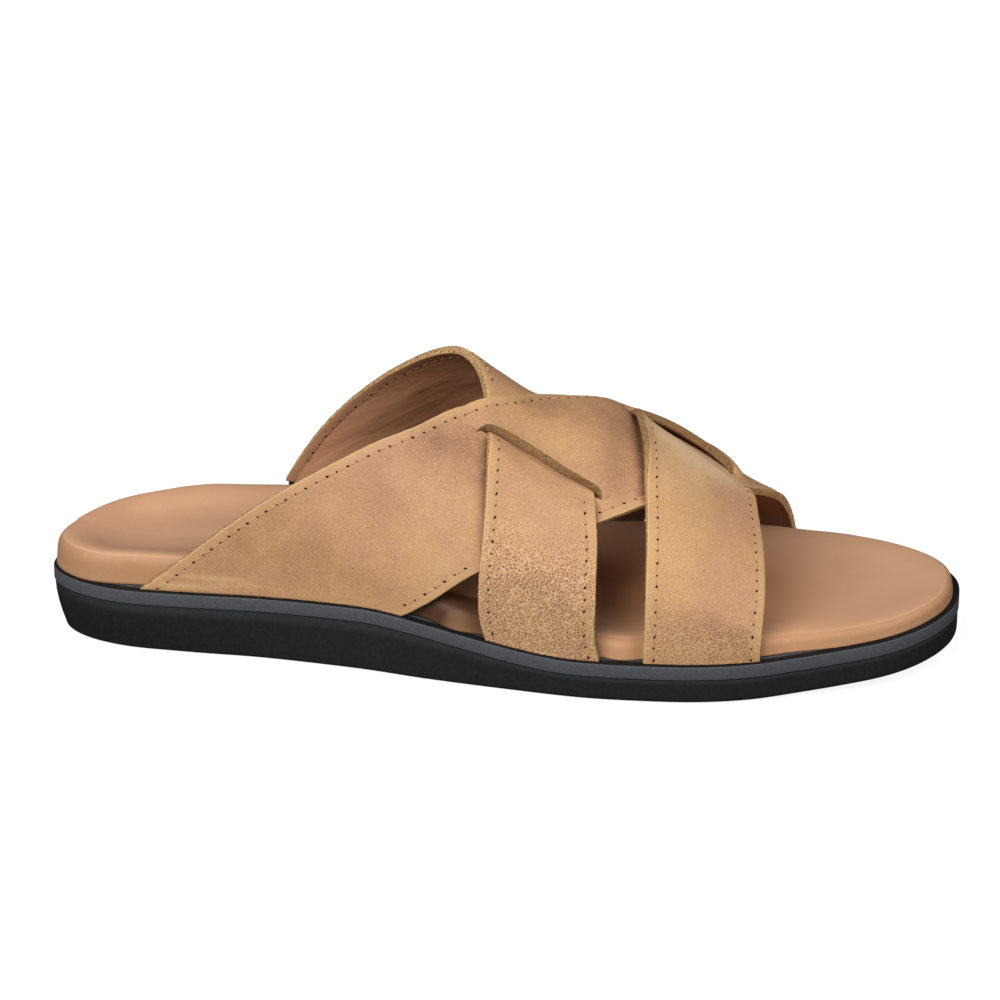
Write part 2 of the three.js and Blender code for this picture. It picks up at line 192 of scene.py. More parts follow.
# The upper lip of each slit, as (at, over).
REAR_SLIT = (
    (0.47, 0.337),
    (0.482, 0.3435),
    (0.492, 0.348),
    (0.505, 0.35),
    (0.528, 0.3455),
    (0.547, 0.335),
    (0.566, 0.3235),
    (0.584, 0.3135),
    (0.596, 0.307),
    (0.612, 0.297),
)
FRONT_SLIT = (
    (0.627, 0.61),
    (0.65, 0.6),
    (0.67, 0.588),
    (0.69, 0.578),
    (0.71, 0.575),
    (0.728, 0.572),
    (0.738, 0.566),
)
SLIT_OPENING = 4.5  # how far the lower lip is pulled away, under the tail


def lerp(a, b, share):
    return a + (b - a) * share


def smooth(share):
    s = np.clip(share, 0, 1)
    return s * s * (3 - 2 * s)


def curve(columns, key, column, x):
    """A smooth curve through one column of a table, read at values of its key column."""
    keys, values = columns[key], columns[column]
    last = len(keys) - 1
    k = np.arange(last + 1)
    before, after = np.maximum(k - 1, 0), np.minimum(k + 1, last)
    slopes = (values[after] - values[before]) / (keys[after] - keys[before])
    x = np.asarray(x, float)
    i = np.clip(np.searchsorted(keys, x, side="right") - 1, 0, last - 1)
    span = keys[i + 1] - keys[i]
    u = np.clip((x - keys[i]) / span, 0, 1)
    return (
        values[i] * (2 * u**3 - 3 * u**2 + 1)
        + slopes[i] * span * (u**3 - 2 * u**2 + u)
        + values[i + 1] * (3 * u**2 - 2 * u**3)
        + slopes[i + 1] * span * (u**3 - u**2)
    )


# The sole's plan and heights.
def along_x(at):
    return (np.asarray(at, float) - 0.5) * LENGTH


def share_at(x):
    return np.asarray(x, float) / LENGTH + 0.5


def rounded_side(side, at):
    sign = -1 if side == "lateral" else 1
    ends = ROUNDINGS[side]
    y = sign * curve(SOLE_PLAN, "at", side, at)
    to_heel = np.clip(1 - at / ends["heel"], 0, 1)
    to_toe = np.clip((at - 1 + ends["toe"]) / ends["toe"], 0, 1)
    y = lerp(HEEL_TIP, y, (1 - to_heel ** ends["heel_power"]) ** (1 / ends["heel_power"]))
    y = lerp(TOE_TIP, y, (1 - to_toe ** ends["toe_power"]) ** (1 / ends["toe_power"]))
    return y * BALL_WIDTH


def toe_lift(at):
    return TOE_SPRING * np.maximum((at - SPRING_START) / (1 - SPRING_START), 0) ** SPRING_POWER


def midsole_top(at):
    wedge = 1 - smooth((at - WEDGE_START) / (WEDGE_END - WEDGE_START))
    return lerp(FORE_HEIGHT, HEEL_HEIGHT, wedge) + toe_lift(at)


def midsole_base(at):
    return midsole_top(at) - MIDSOLE_THICKNESS


def outsole_top(at):
    return midsole_base(at) - SEAT_GAP


# The last, and frames on it.
def crest_height(at):
    return INSTEP_HEIGHT * curve(LAST, "at", "crest", at)


def last_point(at, over):
    at, over = np.broadcast_arrays(np.asarray(at, float), np.asarray(over, float))
    base = midsole_top(at) + SEAT_GAP
    rise = crest_height(at) - base
    crest_side = BALL_WIDTH * curve(LAST, "at", "side", at)
    lateral = over < 0.5
    turn = math.pi * np.where(lateral, over, 1 - over)
    power = 2 / np.where(lateral, LATERAL_FULLNESS, MEDIAL_FULLNESS)
    inset = STRAP_SET_BACK + LEATHER
    foot = np.where(lateral, rounded_side("lateral", at) + inset, rounded_side("medial", at) - inset)
    lean = np.maximum(turn - UPRIGHT_TURN, 0) / (1 - 2 * UPRIGHT_TURN / math.pi)
    out = np.maximum(np.cos(lean), 0) ** power
    below = math.pi * rise * np.maximum(np.maximum(-over, over - 1), 0)
    z = base + rise * np.maximum(np.sin(turn), 0) ** power - below
    return np.stack([along_x(at), lerp(crest_side, foot, out), z], -1)


def unit(v):
    return v / np.maximum(np.linalg.norm(v, axis=-1, keepdims=True), 1e-12)


def last_normal(at, over, step=0.002):
    along = last_point(at + step, over) - last_point(at - step, over)
    across = last_point(at, over + step) - last_point(at, over - step)
    normal = np.cross(along, across)
    foot = (over < step) | (over > 1 - step)
    normal[..., 2] = np.where(foot, 0, normal[..., 2])
    return unit(normal)


def over_at_rise(at, height):
    """How far over the foot a height above the midsole is, on the medial side."""
    share = np.clip(height / (crest_height(at) - midsole_top(at)), -1, 1)
    return 1 - np.arcsin(share ** (MEDIAL_FULLNESS / 2)) / math.pi


def edge_at(leather, edge, over):
    return curve(leather, "over", edge, over)


# The outline of the sole, with stations close together where the ends are round.
ROUND_STEPS = 26
MIDDLE_STEPS = 96


def sole_outline():
    heel = ROUNDINGS["lateral"]["heel"]
    toe = ROUNDINGS["lateral"]["toe"]
    turn = np.linspace(0, math.pi / 2, ROUND_STEPS + 1)
    heel_end = heel * (1 - np.cos(turn[1:]))
    middle = np.linspace(heel, 1 - toe, MIDDLE_STEPS + 2)[1:-1]
    toe_end = 1 - toe * (1 - np.sin(turn[:-1]))
    side = np.concatenate([heel_end, middle, toe_end])
    at = np.concatenate([[0], side, [1], side[::-1]])
    lateral = rounded_side("lateral", side)
    medial = rounded_side("medial", side[::-1])
    y = np.concatenate([[HEEL_TIP * BALL_WIDTH], lateral, [TOE_TIP * BALL_WIDTH], medial])
    x = along_x(at)
    spine = np.clip(at, SPINE_START, SPINE_END)
    middle_y = (rounded_side("lateral", spine) + rounded_side("medial", spine)) / 2
    inward = np.stack([along_x(spine) - x, middle_y - y], -1)
    reach = np.linalg.norm(inward, axis=-1)
    return {"at": at, "x": x, "y": y, "inward": unit(inward), "reach": reach, "medial": y > middle_y}


OUTLINE = sole_outline()


def ring(inset, height, rise=0):
    """One ring round the sole, moved inwards by the inset, at a height worked out along the foot."""
    x = OUTLINE["x"] + OUTLINE["inward"][:, 0] * inset
    y = OUTLINE["y"] + OUTLINE["inward"][:, 1] * inset
    return np.stack([x, y, height(share_at(x)) + rise], -1)


def stack_rings(rings):
    """Rings, lowest first, closed by a strip across the bottom and the top."""
    count = len(OUTLINE["at"])
    half = count // 2
    faces = []
    for r in range(len(rings) - 1):
        for i in range(count):
            j = (i + 1) % count
            faces.append((r * count + i, r * count + j, (r + 1) * count + j, (r + 1) * count + i))
    top = (len(rings) - 1) * count
    for k in range(1, half - 1):
        quad = (k, k + 1, count - k - 1, count - k)
        faces.append(tuple(top + i for i in quad))
        faces.append(tuple(reversed(quad)))
    for tip in ((0, 1, count - 1), (half - 1, half, half + 1)):
        faces.append(tuple(top + i for i in tip))
        faces.append(tuple(reversed(tip)))
    return np.concatenate(rings), faces


def add_mesh(name, points, faces, materials, face_materials=None):
    """A smooth shaded mesh of points in millimetres."""
    mesh = bpy.data.meshes.new(name)
    mesh.from_pydata((points * MM).tolist(), [], [list(map(int, f)) for f in faces])
    for material in materials:
        mesh.materials.append(material)
    if face_materials is not None:
        mesh.polygons.foreach_set("material_index", np.asarray(face_materials, np.int32))
    mesh.polygons.foreach_set("use_smooth", np.ones(len(mesh.polygons), bool))
    mesh.update()
    piece = bpy.data.objects.new(name, mesh)
    bpy.context.scene.collection.objects.link(piece)
    return piece


def set_attribute(piece, name, values):
    attribute = piece.data.attributes.new(name, "FLOAT", "POINT")
    attribute.data.foreach_set("value", np.asarray(values, np.float32))


# Materials. Every texture is worked out in the part's own space.
GLOSS = 0.3


def new_material(name, colour, roughness):
    material = bpy.data.materials.new(name)
    material.use_nodes = True
    shader = material.node_tree.nodes["Principled BSDF"]
    shader.inputs["Base Color"].default_value = (*colour, 1)
    shader.inputs["Roughness"].default_value = roughness
    shader.inputs["Specular IOR Level"].default_value = GLOSS
    return material


class Nodes:
    """A new material, with short ways to add and join its nodes."""

    def __init__(self, name, colour, roughness):
        self.material = new_material(name, colour, roughness)
        self.tree = self.material.node_tree
        self.shader = self.tree.nodes["Principled BSDF"]
        self.place = self.tree.nodes.new("ShaderNodeTexCoord").outputs["Object"]

    def join(self, value, socket):
        if isinstance(value, bpy.types.NodeSocket):
            self.tree.links.new(value, socket)
        elif value is not None:
            socket.default_value = value

    def add(self, kind, output, settings=(), **inputs):
        node = self.tree.nodes.new(kind)
        for name, value in dict(settings).items():
            setattr(node, name, value)
        for name, value in inputs.items():
            self.join(value, node.inputs[name.replace("_", " ")])
        return node.outputs[output]

    def stretched(self, size, lean):
        """Texture space whose cells measure the size in millimetres, leaning in the XZ plane by degrees."""
        return self.add(
            "ShaderNodeMapping", "Vector", {"vector_type": "TEXTURE"}, Vector=self.place,
            Scale=tuple(s * MM for s in size), Rotation=(0, math.radians(lean), 0),
        )

    def noise(self, scale, detail, rough, place=None):
        look = {"Scale": scale, "Detail": detail, "Roughness": rough}
        return self.add("ShaderNodeTexNoise", "Fac", Vector=place or self.place, **look)

    def maths(self, operation, first, second=None, clamp=False):
        node = self.tree.nodes.new("ShaderNodeMath")
        node.operation = operation
        node.use_clamp = clamp
        self.join(first, node.inputs[0])
        self.join(second, node.inputs[1])
        return node.outputs[0]

    def spread(self, value, low, high, to_low=0.0, to_high=1.0):
        return self.add(
            "ShaderNodeMapRange", "Result", {"interpolation_type": "SMOOTHSTEP"}, Value=value,
            **{"From Min": low, "From Max": high, "To Min": to_low, "To Max": to_high},
        )

    def mix(self, share, first, second, blend="MIX"):
        node = self.tree.nodes.new("ShaderNodeMix")
        node.data_type = "RGBA"
        node.blend_type = blend
        self.join(share, node.inputs[0])
        for value, socket in ((first, node.inputs[6]), (second, node.inputs[7])):
            self.join((*value, 1) if isinstance(value, tuple) else value, socket)
        return node.outputs[2]

    def attribute(self, name):
        return self.add("ShaderNodeAttribute", "Fac", {"attribute_name": name})

    def bump(self, height, distance, strength):
        return self.add("ShaderNodeBump", "Normal", Height=height, Distance=distance, Strength=strength)

    def paint(self, colour=None, roughness=None, normal=None):
        for name, value in (("Base Color", colour), ("Roughness", roughness), ("Normal", normal)):
            if value is not None:
                self.tree.links.new(value, self.shader.inputs[name])


def linear(red, green, blue):
    """A screen colour, 0 to 255, as the linear colour that a shader takes."""
    shares = [c / 255 for c in (red, green, blue)]
    return tuple(s / 12.92 if s <= 0.04045 else ((s + 0.055) / 1.055) ** 2.4 for s in shares)


GRAIN_LEAN = 38  # degrees that the leather's grain leans from the floor
PORE_SIZE = (1.2, 5, 0.62)
FLECK_SIZE = (0.6, 0.5, 0.4)


def leather_material():
    """Tan nubuck: clouds of yellow and pink, patches of painted shade and painted sheen, small dark pores in
    a paler net, and a paler rim.
    """
    n = Nodes("tan_leather", linear(190, 145, 105), 0.55)
    cloud = n.noise(30, 4, 0.6)
    patch = n.noise(90, 5, 0.65)
    yellow = n.maths("ADD", n.maths("MULTIPLY", n.attribute("yellow"), 0.5), n.spread(cloud, 0.3, 0.7))
    hue = n.mix(n.spread(yellow, -0.1, 1.1), linear(194, 145, 110), linear(207, 161, 110))
    light = n.maths("ADD", n.attribute("light"), n.spread(patch, 0.3, 0.7, -0.24, 0.24))
    # The light attribute holds tone from dye and wear, and also painted sheen and painted shade.
    lit = n.mix(n.spread(light, 0, 2, 0, 0.9), hue, linear(236, 198, 156))
    tone_and_shade = n.mix(n.spread(light, 0, -2, 0, 0.9), lit, linear(112, 72, 46))
    coarse = n.attribute("coarse")
    fine = n.noise(1, 3, 0.6, place=n.stretched(FLECK_SIZE, GRAIN_LEAN))
    wander = n.add("ShaderNodeTexNoise", "Color", Vector=n.place, Scale=900, Detail=1)
    slanted = n.mix(0.5, n.stretched(PORE_SIZE, GRAIN_LEAN), wander, "ADD")
    cells = {"Vector": slanted, "Scale": 1, "Randomness": 0.9}
    wall = n.add("ShaderNodeTexVoronoi", "Distance", {"feature": "DISTANCE_TO_EDGE"}, **cells)
    pores = n.maths("MULTIPLY", n.spread(wall, 0.03, 0.42), coarse)
    net = n.maths("MULTIPLY", n.spread(wall, 0.14, 0), coarse)
    browner = n.mix(n.maths("MULTIPLY", coarse, 0.2), tone_and_shade, linear(150, 90, 58))
    pored = n.mix(n.maths("MULTIPLY", pores, 0.72), browner, linear(128, 72, 42))
    netted = n.mix(n.maths("MULTIPLY", net, 0.7), pored, linear(248, 208, 160))
    speckle = n.mix(n.spread(fine, 0.5, 0.78, 0, 0.5), netted, linear(240, 202, 158))
    freckle = n.mix(n.spread(fine, 0.5, 0.22, 0, 0.5), speckle, linear(120, 76, 48))
    margin = n.mix(n.spread(n.attribute("from_edge"), 2.8, 1.4, 0, 0.22), freckle, linear(226, 184, 128))
    frayed = n.maths("ADD", n.attribute("from_edge"), n.spread(fine, 0.25, 0.75, -0.3, 0.3))
    rim = n.spread(frayed, 0.6, 0.1, 0, 0.65)
    height = n.maths("ADD", n.maths("MULTIPLY", pores, -0.9), n.maths("MULTIPLY", fine, 0.5))
    colour = n.mix(rim, margin, linear(222, 182, 126))
    n.paint(colour, n.spread(fine, 0.3, 0.7, 0.5, 0.7), n.bump(height, 0.0002, 0.6))
    return n.material


def lining_material():
    """Smooth brown lining with slanting wrinkles, lighter on their ridges and darker in their troughs as
    painted highlight and painted shade, paler near the heel from painted light, and darker along its rim.
    """
    n = Nodes("lining_leather", linear(132, 90, 64), 0.7)
    cloud = n.noise(40, 5, 0.65)
    wrinkle = n.noise(1, 3, 0.55, place=n.stretched((46, 30, 8), -33))
    base = n.mix(n.spread(cloud, 0.35, 0.7), linear(118, 78, 52), linear(138, 94, 66))
    # Painted highlight on the wrinkles' ridges and painted shade in their troughs.
    wrinkle_highlit = n.mix(n.spread(wrinkle, 0.5, 0.72, 0, 0.4), base, linear(164, 118, 86))
    wrinkle_shaded = n.mix(n.spread(wrinkle, 0.46, 0.3, 0, 0.4), wrinkle_highlit, linear(92, 58, 38))
    # Painted light: the lining is paler near the heel, and it is also paler towards the toe.
    pale = n.mix(n.attribute("pale"), wrinkle_shaded, linear(178, 132, 98))
    rim = n.maths("MULTIPLY", n.spread(n.attribute("from_edge"), 2.9, 2.3), 0.35)
    n.paint(n.mix(rim, pale, linear(84, 52, 32)))
    height = n.maths("ADD", wrinkle, n.maths("MULTIPLY", n.noise(900, 4, 0.7), 0.08))
    n.paint(normal=n.bump(height, 0.0022, 0.7))
    return n.material


def raw_edge_material():
    """The cut edge: pale fibres at the long edges, browner inside the slits and at the front tail's rear
    corner, where the browner colour is painted shade.
    """
    n = Nodes("raw_edge", linear(186, 146, 100), 0.85)
    fibre = n.noise(1300, 5, 0.75)
    outer = n.mix(n.spread(fibre, 0.36, 0.64), linear(138, 96, 56), linear(224, 186, 134))
    # A browner copy of the edge, used as painted shade inside the slits and on the front tail's rear edge.
    inner = n.mix(n.spread(fibre, 0.3, 0.7), linear(108, 76, 46), linear(168, 128, 86))
    brown = n.maths("MAXIMUM", n.spread(n.attribute("from_edge"), 0.8, 2.5), n.attribute("edge_shade"))
    n.paint(n.mix(brown, outer, inner))
    n.paint(normal=n.bump(fibre, 0.0003, 0.8))
    return n.material


def footbed_material():
    n = Nodes("footbed_leather", linear(184, 138, 108), 0.5)
    cloud = n.noise(26, 3, 0.5)
    wall = n.attribute("wall")
    top = n.mix(n.spread(cloud, 0.3, 0.7), linear(205, 156, 122), linear(213, 165, 129))
    side = n.mix(n.spread(cloud, 0.3, 0.7), linear(186, 138, 100), linear(194, 146, 107))
    # A painted highlight along the ridge where the footbed's wall rolls over into its top.
    line = n.maths("MULTIPLY", n.spread(wall, 0.05, 0.3), n.spread(wall, 0.85, 0.45))
    rim_highlit = n.mix(n.maths("MULTIPLY", line, 0.35), n.mix(wall, top, side), linear(226, 184, 152))
    mottle = n.mix(n.spread(n.noise(420, 4, 0.7), 0.5, 0.8, 0, 0.3), rim_highlit, linear(224, 180, 146))
    # This darkens the footbed with painted shade of the straps, and with wear at the heel.
    shade_and_wear_share = n.maths("MULTIPLY", n.attribute("shade_and_wear"), 0.8, clamp=True)
    # Painted reflected light from the straps' leather, warmer under them.
    bounce_lit = n.mix(n.attribute("painted_bounce"), mottle, linear(245, 172, 118))
    n.paint(n.mix(shade_and_wear_share, bounce_lit, linear(88, 56, 38)))
    n.paint(normal=n.bump(n.noise(1500, 3, 0.6), 0.00005, 0.35))
    return n.material


def speckled_material(name, grain, dark, light):
    """Foam or rubber with a faint speckle, whose grain is finer the higher the number."""
    n = Nodes(name, dark, 0.75)
    speckle = n.noise(grain, 3, 0.6)
    n.paint(n.mix(n.spread(speckle, 0.3, 0.7), dark, light), normal=n.bump(speckle, 0.00006, 0.4))
    return n.material


def elastic_material():
    n = Nodes("gore_elastic", linear(30, 28, 28), 0.8)
    weave = n.noise(3000, 2, 0.5)
    n.paint(n.mix(weave, linear(26, 24, 24), linear(48, 45, 44)))
    return n.material


def hole_material():
    n = Nodes("stitch_hole", linear(62, 34, 20), 0.9)
    n.paint(n.mix(n.noise(1500, 2, 0.5), linear(46, 24, 12), linear(78, 46, 28)))
    n.shader.inputs["Specular IOR Level"].default_value = 0
    return n.material


def thread_material():
    n = Nodes("waxed_thread", linear(176, 128, 90), 0.6)
    pale = n.mix(n.spread(n.noise(500, 3, 0.6), 0.3, 0.7), linear(196, 150, 106), linear(226, 182, 134))
    n.paint(n.mix(n.attribute("inside"), pale, linear(138, 98, 68)))
    return n.material


HOLE_LOOK = hole_material()
THREAD_LOOK = thread_material()
LEATHER_LOOK = leather_material()
LINING_LOOK = lining_material()
EDGE_LOOK = raw_edge_material()
FOOTBED_LOOK = footbed_material()
FOAM_LOOK = speckled_material("midsole_foam", 1200, linear(74, 76, 80), linear(86, 89, 93))
RUBBER_LOOK = speckled_material("outsole_rubber", 900, linear(24, 24, 26), linear(33, 33, 35))
# Black on the midsole's top edge: a dark glue line, and painted shade where the leather and footbed overhang
# it.
LEDGE_GLUE_AND_SHADE_LOOK = speckled_material("ledge_glue_and_shade", 900, linear(10, 10, 11), linear(20, 19, 19))
ELASTIC_LOOK = elastic_material()


def finish_piece(piece, slot, *nodes):
    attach(piece, "root")
    if nodes:
        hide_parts(*nodes)


# The sole. It draws in towards the floor, most at the back of the heel.
def rounded_corner(radius, steps):
    """Inset and rise of a quarter turn, from flat below to upright."""
    turn = np.linspace(0, math.pi / 2, steps + 1)
    return [(radius * (1 - math.sin(t)), radius * (1 - math.cos(t))) for t in turn]


SOLE_FULLNESS = 1.8  # how soon the side turns upright above the floor
BOTTOM_INSET = 6
TOP_INSET = 0.5


def outsole():
    draft = lerp(HEEL_DRAFT, SEAT_GAP, smooth(OUTLINE["at"] / WEDGE_START))
    rings = [ring(draft + SOLE_BEVEL + BOTTOM_INSET, toe_lift)]
    rings += [ring(draft + inset, toe_lift, rise) for inset, rise in rounded_corner(SOLE_BEVEL, 5)]
    for share in (0.25, 0.5, 0.75, 1):
        inset = lerp(draft, SEAT_GAP, 1 - (1 - share) ** SOLE_FULLNESS)
        rings.append(ring(inset, lambda at: lerp(toe_lift(at) + SOLE_BEVEL, outsole_top(at), share)))
    rings.append(ring(SEAT_GAP + TOP_INSET, outsole_top))
    points, faces = stack_rings(rings)
    finish_piece(add_mesh("outsole_body", points, faces, [RUBBER_LOOK]), "outsole_rubber", "outsole")


MIDSOLE_ROUNDINGS = (0.25, 0.7)  # of its lower and upper edge
MIDSOLE_INSETS = (1, 3)  # of the last ring below and above
# The black strips are a dark glue line and painted shade under the leather and footbed.
LEDGE_STRIPS = 3  # the strips on top, and round the corner, that are black


def midsole():
    lower, upper = MIDSOLE_ROUNDINGS
    rings = [ring(MIDSOLE_INSETS[0], midsole_base)]
    rings += [ring(inset, midsole_base, rise) for inset, rise in rounded_corner(lower, 3)]
    rings += [ring(inset, midsole_top, -rise) for inset, rise in reversed(rounded_corner(upper, 4))]
    rings.append(ring(MIDSOLE_INSETS[1], midsole_top))
    points, faces = stack_rings(rings)
    end = (len(rings) - 1) * len(OUTLINE["at"])
    start = end - LEDGE_STRIPS * len(OUTLINE["at"])
    kinds = [int(start <= k < end) for k in range(len(faces))]
    piece = add_mesh("midsole_body", points, faces, [FOAM_LOOK, LEDGE_GLUE_AND_SHADE_LOOK], kinds)
    finish_piece(piece, "midsole_foam", "midsole")


# From the midsole's edge to the footbed's wall: wider where the straps come down between the two.
def ledge_width(at):
    strapped = STRAP_SET_BACK + LEATHER + WALL_GAP
    first, last = SLOTTED["rear"][0], SLOTTED["front"][-1]
    fade = LEDGE_FADE / LENGTH
    inside = np.minimum(smooth((at - first + fade) / fade), smooth((last - at + fade) / fade))
    return lerp(lerp(HEEL_LEDGE, TOE_LEDGE, at), strapped, inside)


# Where the footbed's wall stands out between the straps, which hold it in: start and end, and how far.
BULGES = (
    (SLOTTED["front"][0] + 0.02, FORKED["rear"][0], 2.9),
    (FORKED["gap_rear"][0], FORKED["gap_front"][0], 1.7),
)
BULGE_POWER = 1.5


def bulge(at, medial):
    out = np.zeros(at.shape)
    for start, end, most in BULGES:
        share = np.clip((at - start) / (end - start), 0, 1)
        out += most * np.sin(math.pi * share) ** BULGE_POWER
    return np.where(medial, 0, out)


def footbed_edge(at, medial):
    arch = medial * np.exp(-(((at - WEDGE_START) / (WEDGE_END - WEDGE_START)) ** 2) * 2)
    return FOOTBED_HEIGHT * curve(FOOTBED_ALONG, "at", "edge", at) + ARCH_RISE * arch


# How far the rim stands up round the heel, in millimetres.
HEEL_CUP = table(
    "at lateral medial",
    (0, 0.7, 0.8),
    (0.04, 0.7, 1.9),
    (0.09, 0.7, 2.6),
    (0.14, 0.7, 2.3),
    (0.2, 0.6, 0.9),
    (0.26, 0.2, 0),
    (0.32, 0, 0),
)


def heel_cup(at, medial):
    return np.where(medial, curve(HEEL_CUP, "at", "medial", at), curve(HEEL_CUP, "at", "lateral", at))


CUP_FADE = 0.5
# Where the footbed is painted darker, with painted shade of the straps and with wear at the heel: place, half
# length, half width and depth.
SHADE_AND_WEAR_SPOTS = (
    # painted shade of the straps on the footbed, in this row and the next three
    (-10, -41.5, 24, 4.8, 2.2),
    (34, -43, 12, 6, 0.5),
    (62, -8, 40, 26, 0.1),
    (83, 3, 8, 14, 0.28),
    # wear at the heel
    (-60, 0, 50, 14, 0.15),
)
# Painted reflected light: warm light that the straps' leather bounces onto the footbed, painted into its
# colour.
PAINTED_BOUNCE_SPOT = (62, -8, 30, 30)  # place, half length and half width where the straps' leather warms the light
FOOTBED_STEPS = np.concatenate([np.linspace(0, 5, 21), np.linspace(5.25, 9, 18)])
WALL_END, WALL_FADE = 4.6, 1.2  # steps of the section where the wall's colour ends, and over how many


def spot(points, x, y, long, wide):
    """1 at a place on the footbed, fading round it."""
    return np.exp(-(((points[:, 0] - x) / long) ** 2 + ((points[:, 1] - y) / wide) ** 2))


def footbed():
    at, medial = OUTLINE["at"], OUTLINE["medial"]
    edge = footbed_edge(at, medial)
    cup = heel_cup(at, medial)
    dish = FOOTBED_DISH * curve(FOOTBED_ALONG, "at", "dish", at)
    wall = ledge_width(at) - bulge(at, medial)
    rings = []
    for step in FOOTBED_STEPS:
        inward, up, dip = (curve(FOOTBED_SECTION, "step", c, step) for c in ("inward", "up", "dip"))
        inset = lerp(wall, OUTLINE["reach"], inward)
        rise = SEAT_GAP + edge * up + cup * up * (1 - smooth(inward / CUP_FADE)) - dish * dip
        rings.append(ring(inset, midsole_top, rise))
    points, faces = stack_rings(rings)
    piece = add_mesh("footbed_cover", points, faces, [FOOTBED_LOOK])
    set_attribute(piece, "wall", np.repeat(smooth((WALL_END - FOOTBED_STEPS) / WALL_FADE), len(at)))
    # Painted shade of the straps, and wear at the heel.
    set_attribute(piece, "shade_and_wear", sum(depth * spot(points, *place) for *place, depth in SHADE_AND_WEAR_SPOTS))
    set_attribute(piece, "painted_bounce", spot(points, *PAINTED_BOUNCE_SPOT))
    finish_piece(piece, "footbed_leather", "insole")


outsole()
midsole()
footbed()


# The leather upper. A slit lies along a row of the slotted leather's grid, so its points are turned into
# shares of the way across that leather.
def slotted_at(over, v):
    return lerp(edge_at(SLOTTED, "rear", over), edge_at(SLOTTED, "front", over), v)


def share_across(at, over):
    rear, front = edge_at(SLOTTED, "rear", over), edge_at(SLOTTED, "front", over)
    return (at - rear) / (front - rear)


def slit_line(points):
    at, over = np.array(points, float).T
    return {"v": share_across(at, over), "over": over}


REAR_LINE = slit_line(REAR_SLIT)
FRONT_LINE = slit_line(FRONT_SLIT)
BETWEEN_SLITS = (0.598, 0.642)  # where the slotted leather comes down to pass under the front tail
SLIT_STEP = 0.2  # mm over which the leather steps at a slit
SLIT_REACH = 30  # mm past a slit's end where the leather's step has softened
SOFTENING = 0.7
GIRTH_OF_HEIGHT, GIRTH_OF_WIDTH = 2.2, 0.45  # shares of a strap's height and width in its way over the foot


def girth(at):
    """Millimetres of way over the foot for a whole turn of over."""
    return GIRTH_OF_HEIGHT * (crest_height(at) - midsole_top(at)) + BALL_WIDTH * GIRTH_OF_WIDTH


def from_line(line, at, over):
    """The share of the way across the slotted leather, and millimetres above the line through a slit."""
    v = share_across(at, over)
    return v, (over - curve(line, "v", "over", v)) * girth(at)


def above_slit(line, at, over):
    """1 above the line through a slit and 0 below it: sudden between its ends, softer past them."""
    v, above = from_line(line, at, over)
    width = (edge_at(SLOTTED, "front", over) - edge_at(SLOTTED, "rear", over)) * LENGTH
    past = np.maximum(np.maximum(line["v"][0] - v, v - line["v"][-1]), 0) * width
    soft = SLIT_STEP + SLIT_REACH * np.minimum(past / SLIT_REACH, 1) ** SOFTENING
    return smooth(0.5 + above / soft)


def fork_is_under(at, over):
    """1 where the forked leather lies under the slotted one, 0 where it has come out through a slit."""
    share = smooth((at - BETWEEN_SLITS[0]) / (BETWEEN_SLITS[1] - BETWEEN_SLITS[0]))
    return lerp(above_slit(REAR_LINE, at, over), above_slit(FRONT_LINE, at, over), share)


def within(leather, at, over):
    """1 between the edges of a leather, fading to 0 a ramp's length outside them."""
    inside = np.minimum(edge_at(leather, "front", over) - at, at - edge_at(leather, "rear", over))
    return smooth(1 + inside * LENGTH / LEATHER_RAMP)


# Each runs from one place to another: at, over, at, over, then half width and height in millimetres.
# A trough's height is below 0.
CREASES = (
    (0.27, 0.19, 0.41, 0.1, 8, -0.55),
    (0.36, 0.215, 0.445, 0.15, 6, 0.4),
    (0.38, 0.26, 0.465, 0.2, 6, -0.5),
    (0.33, 0.07, 0.41, 0.05, 6, 0.35),
    (0.2, 0.1, 0.3, 0.06, 7, -0.35),
    (0.535, 0.33, 0.53, 0.14, 6, -0.35),
    (0.58, 0.29, 0.59, 0.12, 6, 0.35),
    (0.575, 0.45, 0.6, 0.35, 7, 0.4),
    (0.61, 0.5, 0.632, 0.33, 5, -0.6),
    (0.68, 0.53, 0.685, 0.2, 6, 0.45),
    (0.72, 0.5, 0.735, 0.15, 8, -0.5),
    (0.765, 0.4, 0.77, 0.1, 6, 0.3),
    (0.7, 0.85, 0.77, 0.68, 6, -0.5),
    (0.66, 0.9, 0.72, 0.62, 6, 0.4),
    (0.4, 0.78, 0.56, 0.66, 7, -0.6),
    (0.34, 0.86, 0.47, 0.76, 6, -0.5),
    (0.36, 0.82, 0.5, 0.7, 5, 0.4),
)
CREASE_ENDS = 0.35  # a crease's height at its ends, as a share of that at its middle


def creases(at, over):
    """Soft troughs and ridges from wear in both leathers, in millimetres."""
    total = np.zeros(np.broadcast(at, over).shape)
    round_foot = girth(at)
    for start_at, start_over, end_at, end_over, half_width, height in CREASES:
        along, up = (at - start_at) * LENGTH, (over - start_over) * round_foot
        run, climb = (end_at - start_at) * LENGTH, (end_over - start_over) * round_foot
        share = np.clip((along * run + up * climb) / (run**2 + climb**2), 0, 1)
        away = np.hypot(along - share * run, up - share * climb) / half_width
        total += height * np.exp(-(away**2)) * lerp(CREASE_ENDS, 1, np.sin(math.pi * share))
    return total


LIP_FLARE = 1.6
LIP_CURL = 3
TAIL_CLIMB = (8, 12)  # mm below a slit's lip over which the rear and front tails come up on top
TAIL_FOOT = (0.14, 0.3)  # over at which the rear and front tails stand clear
TAILS_PART, TAILS_BLEND = 0.6, 0.05
CURL = 2.2
CURL_SPAN = (0.32, 0.6)
CURL_FADES = (0.12, 0.04)
CURL_WIDTH = 3.5


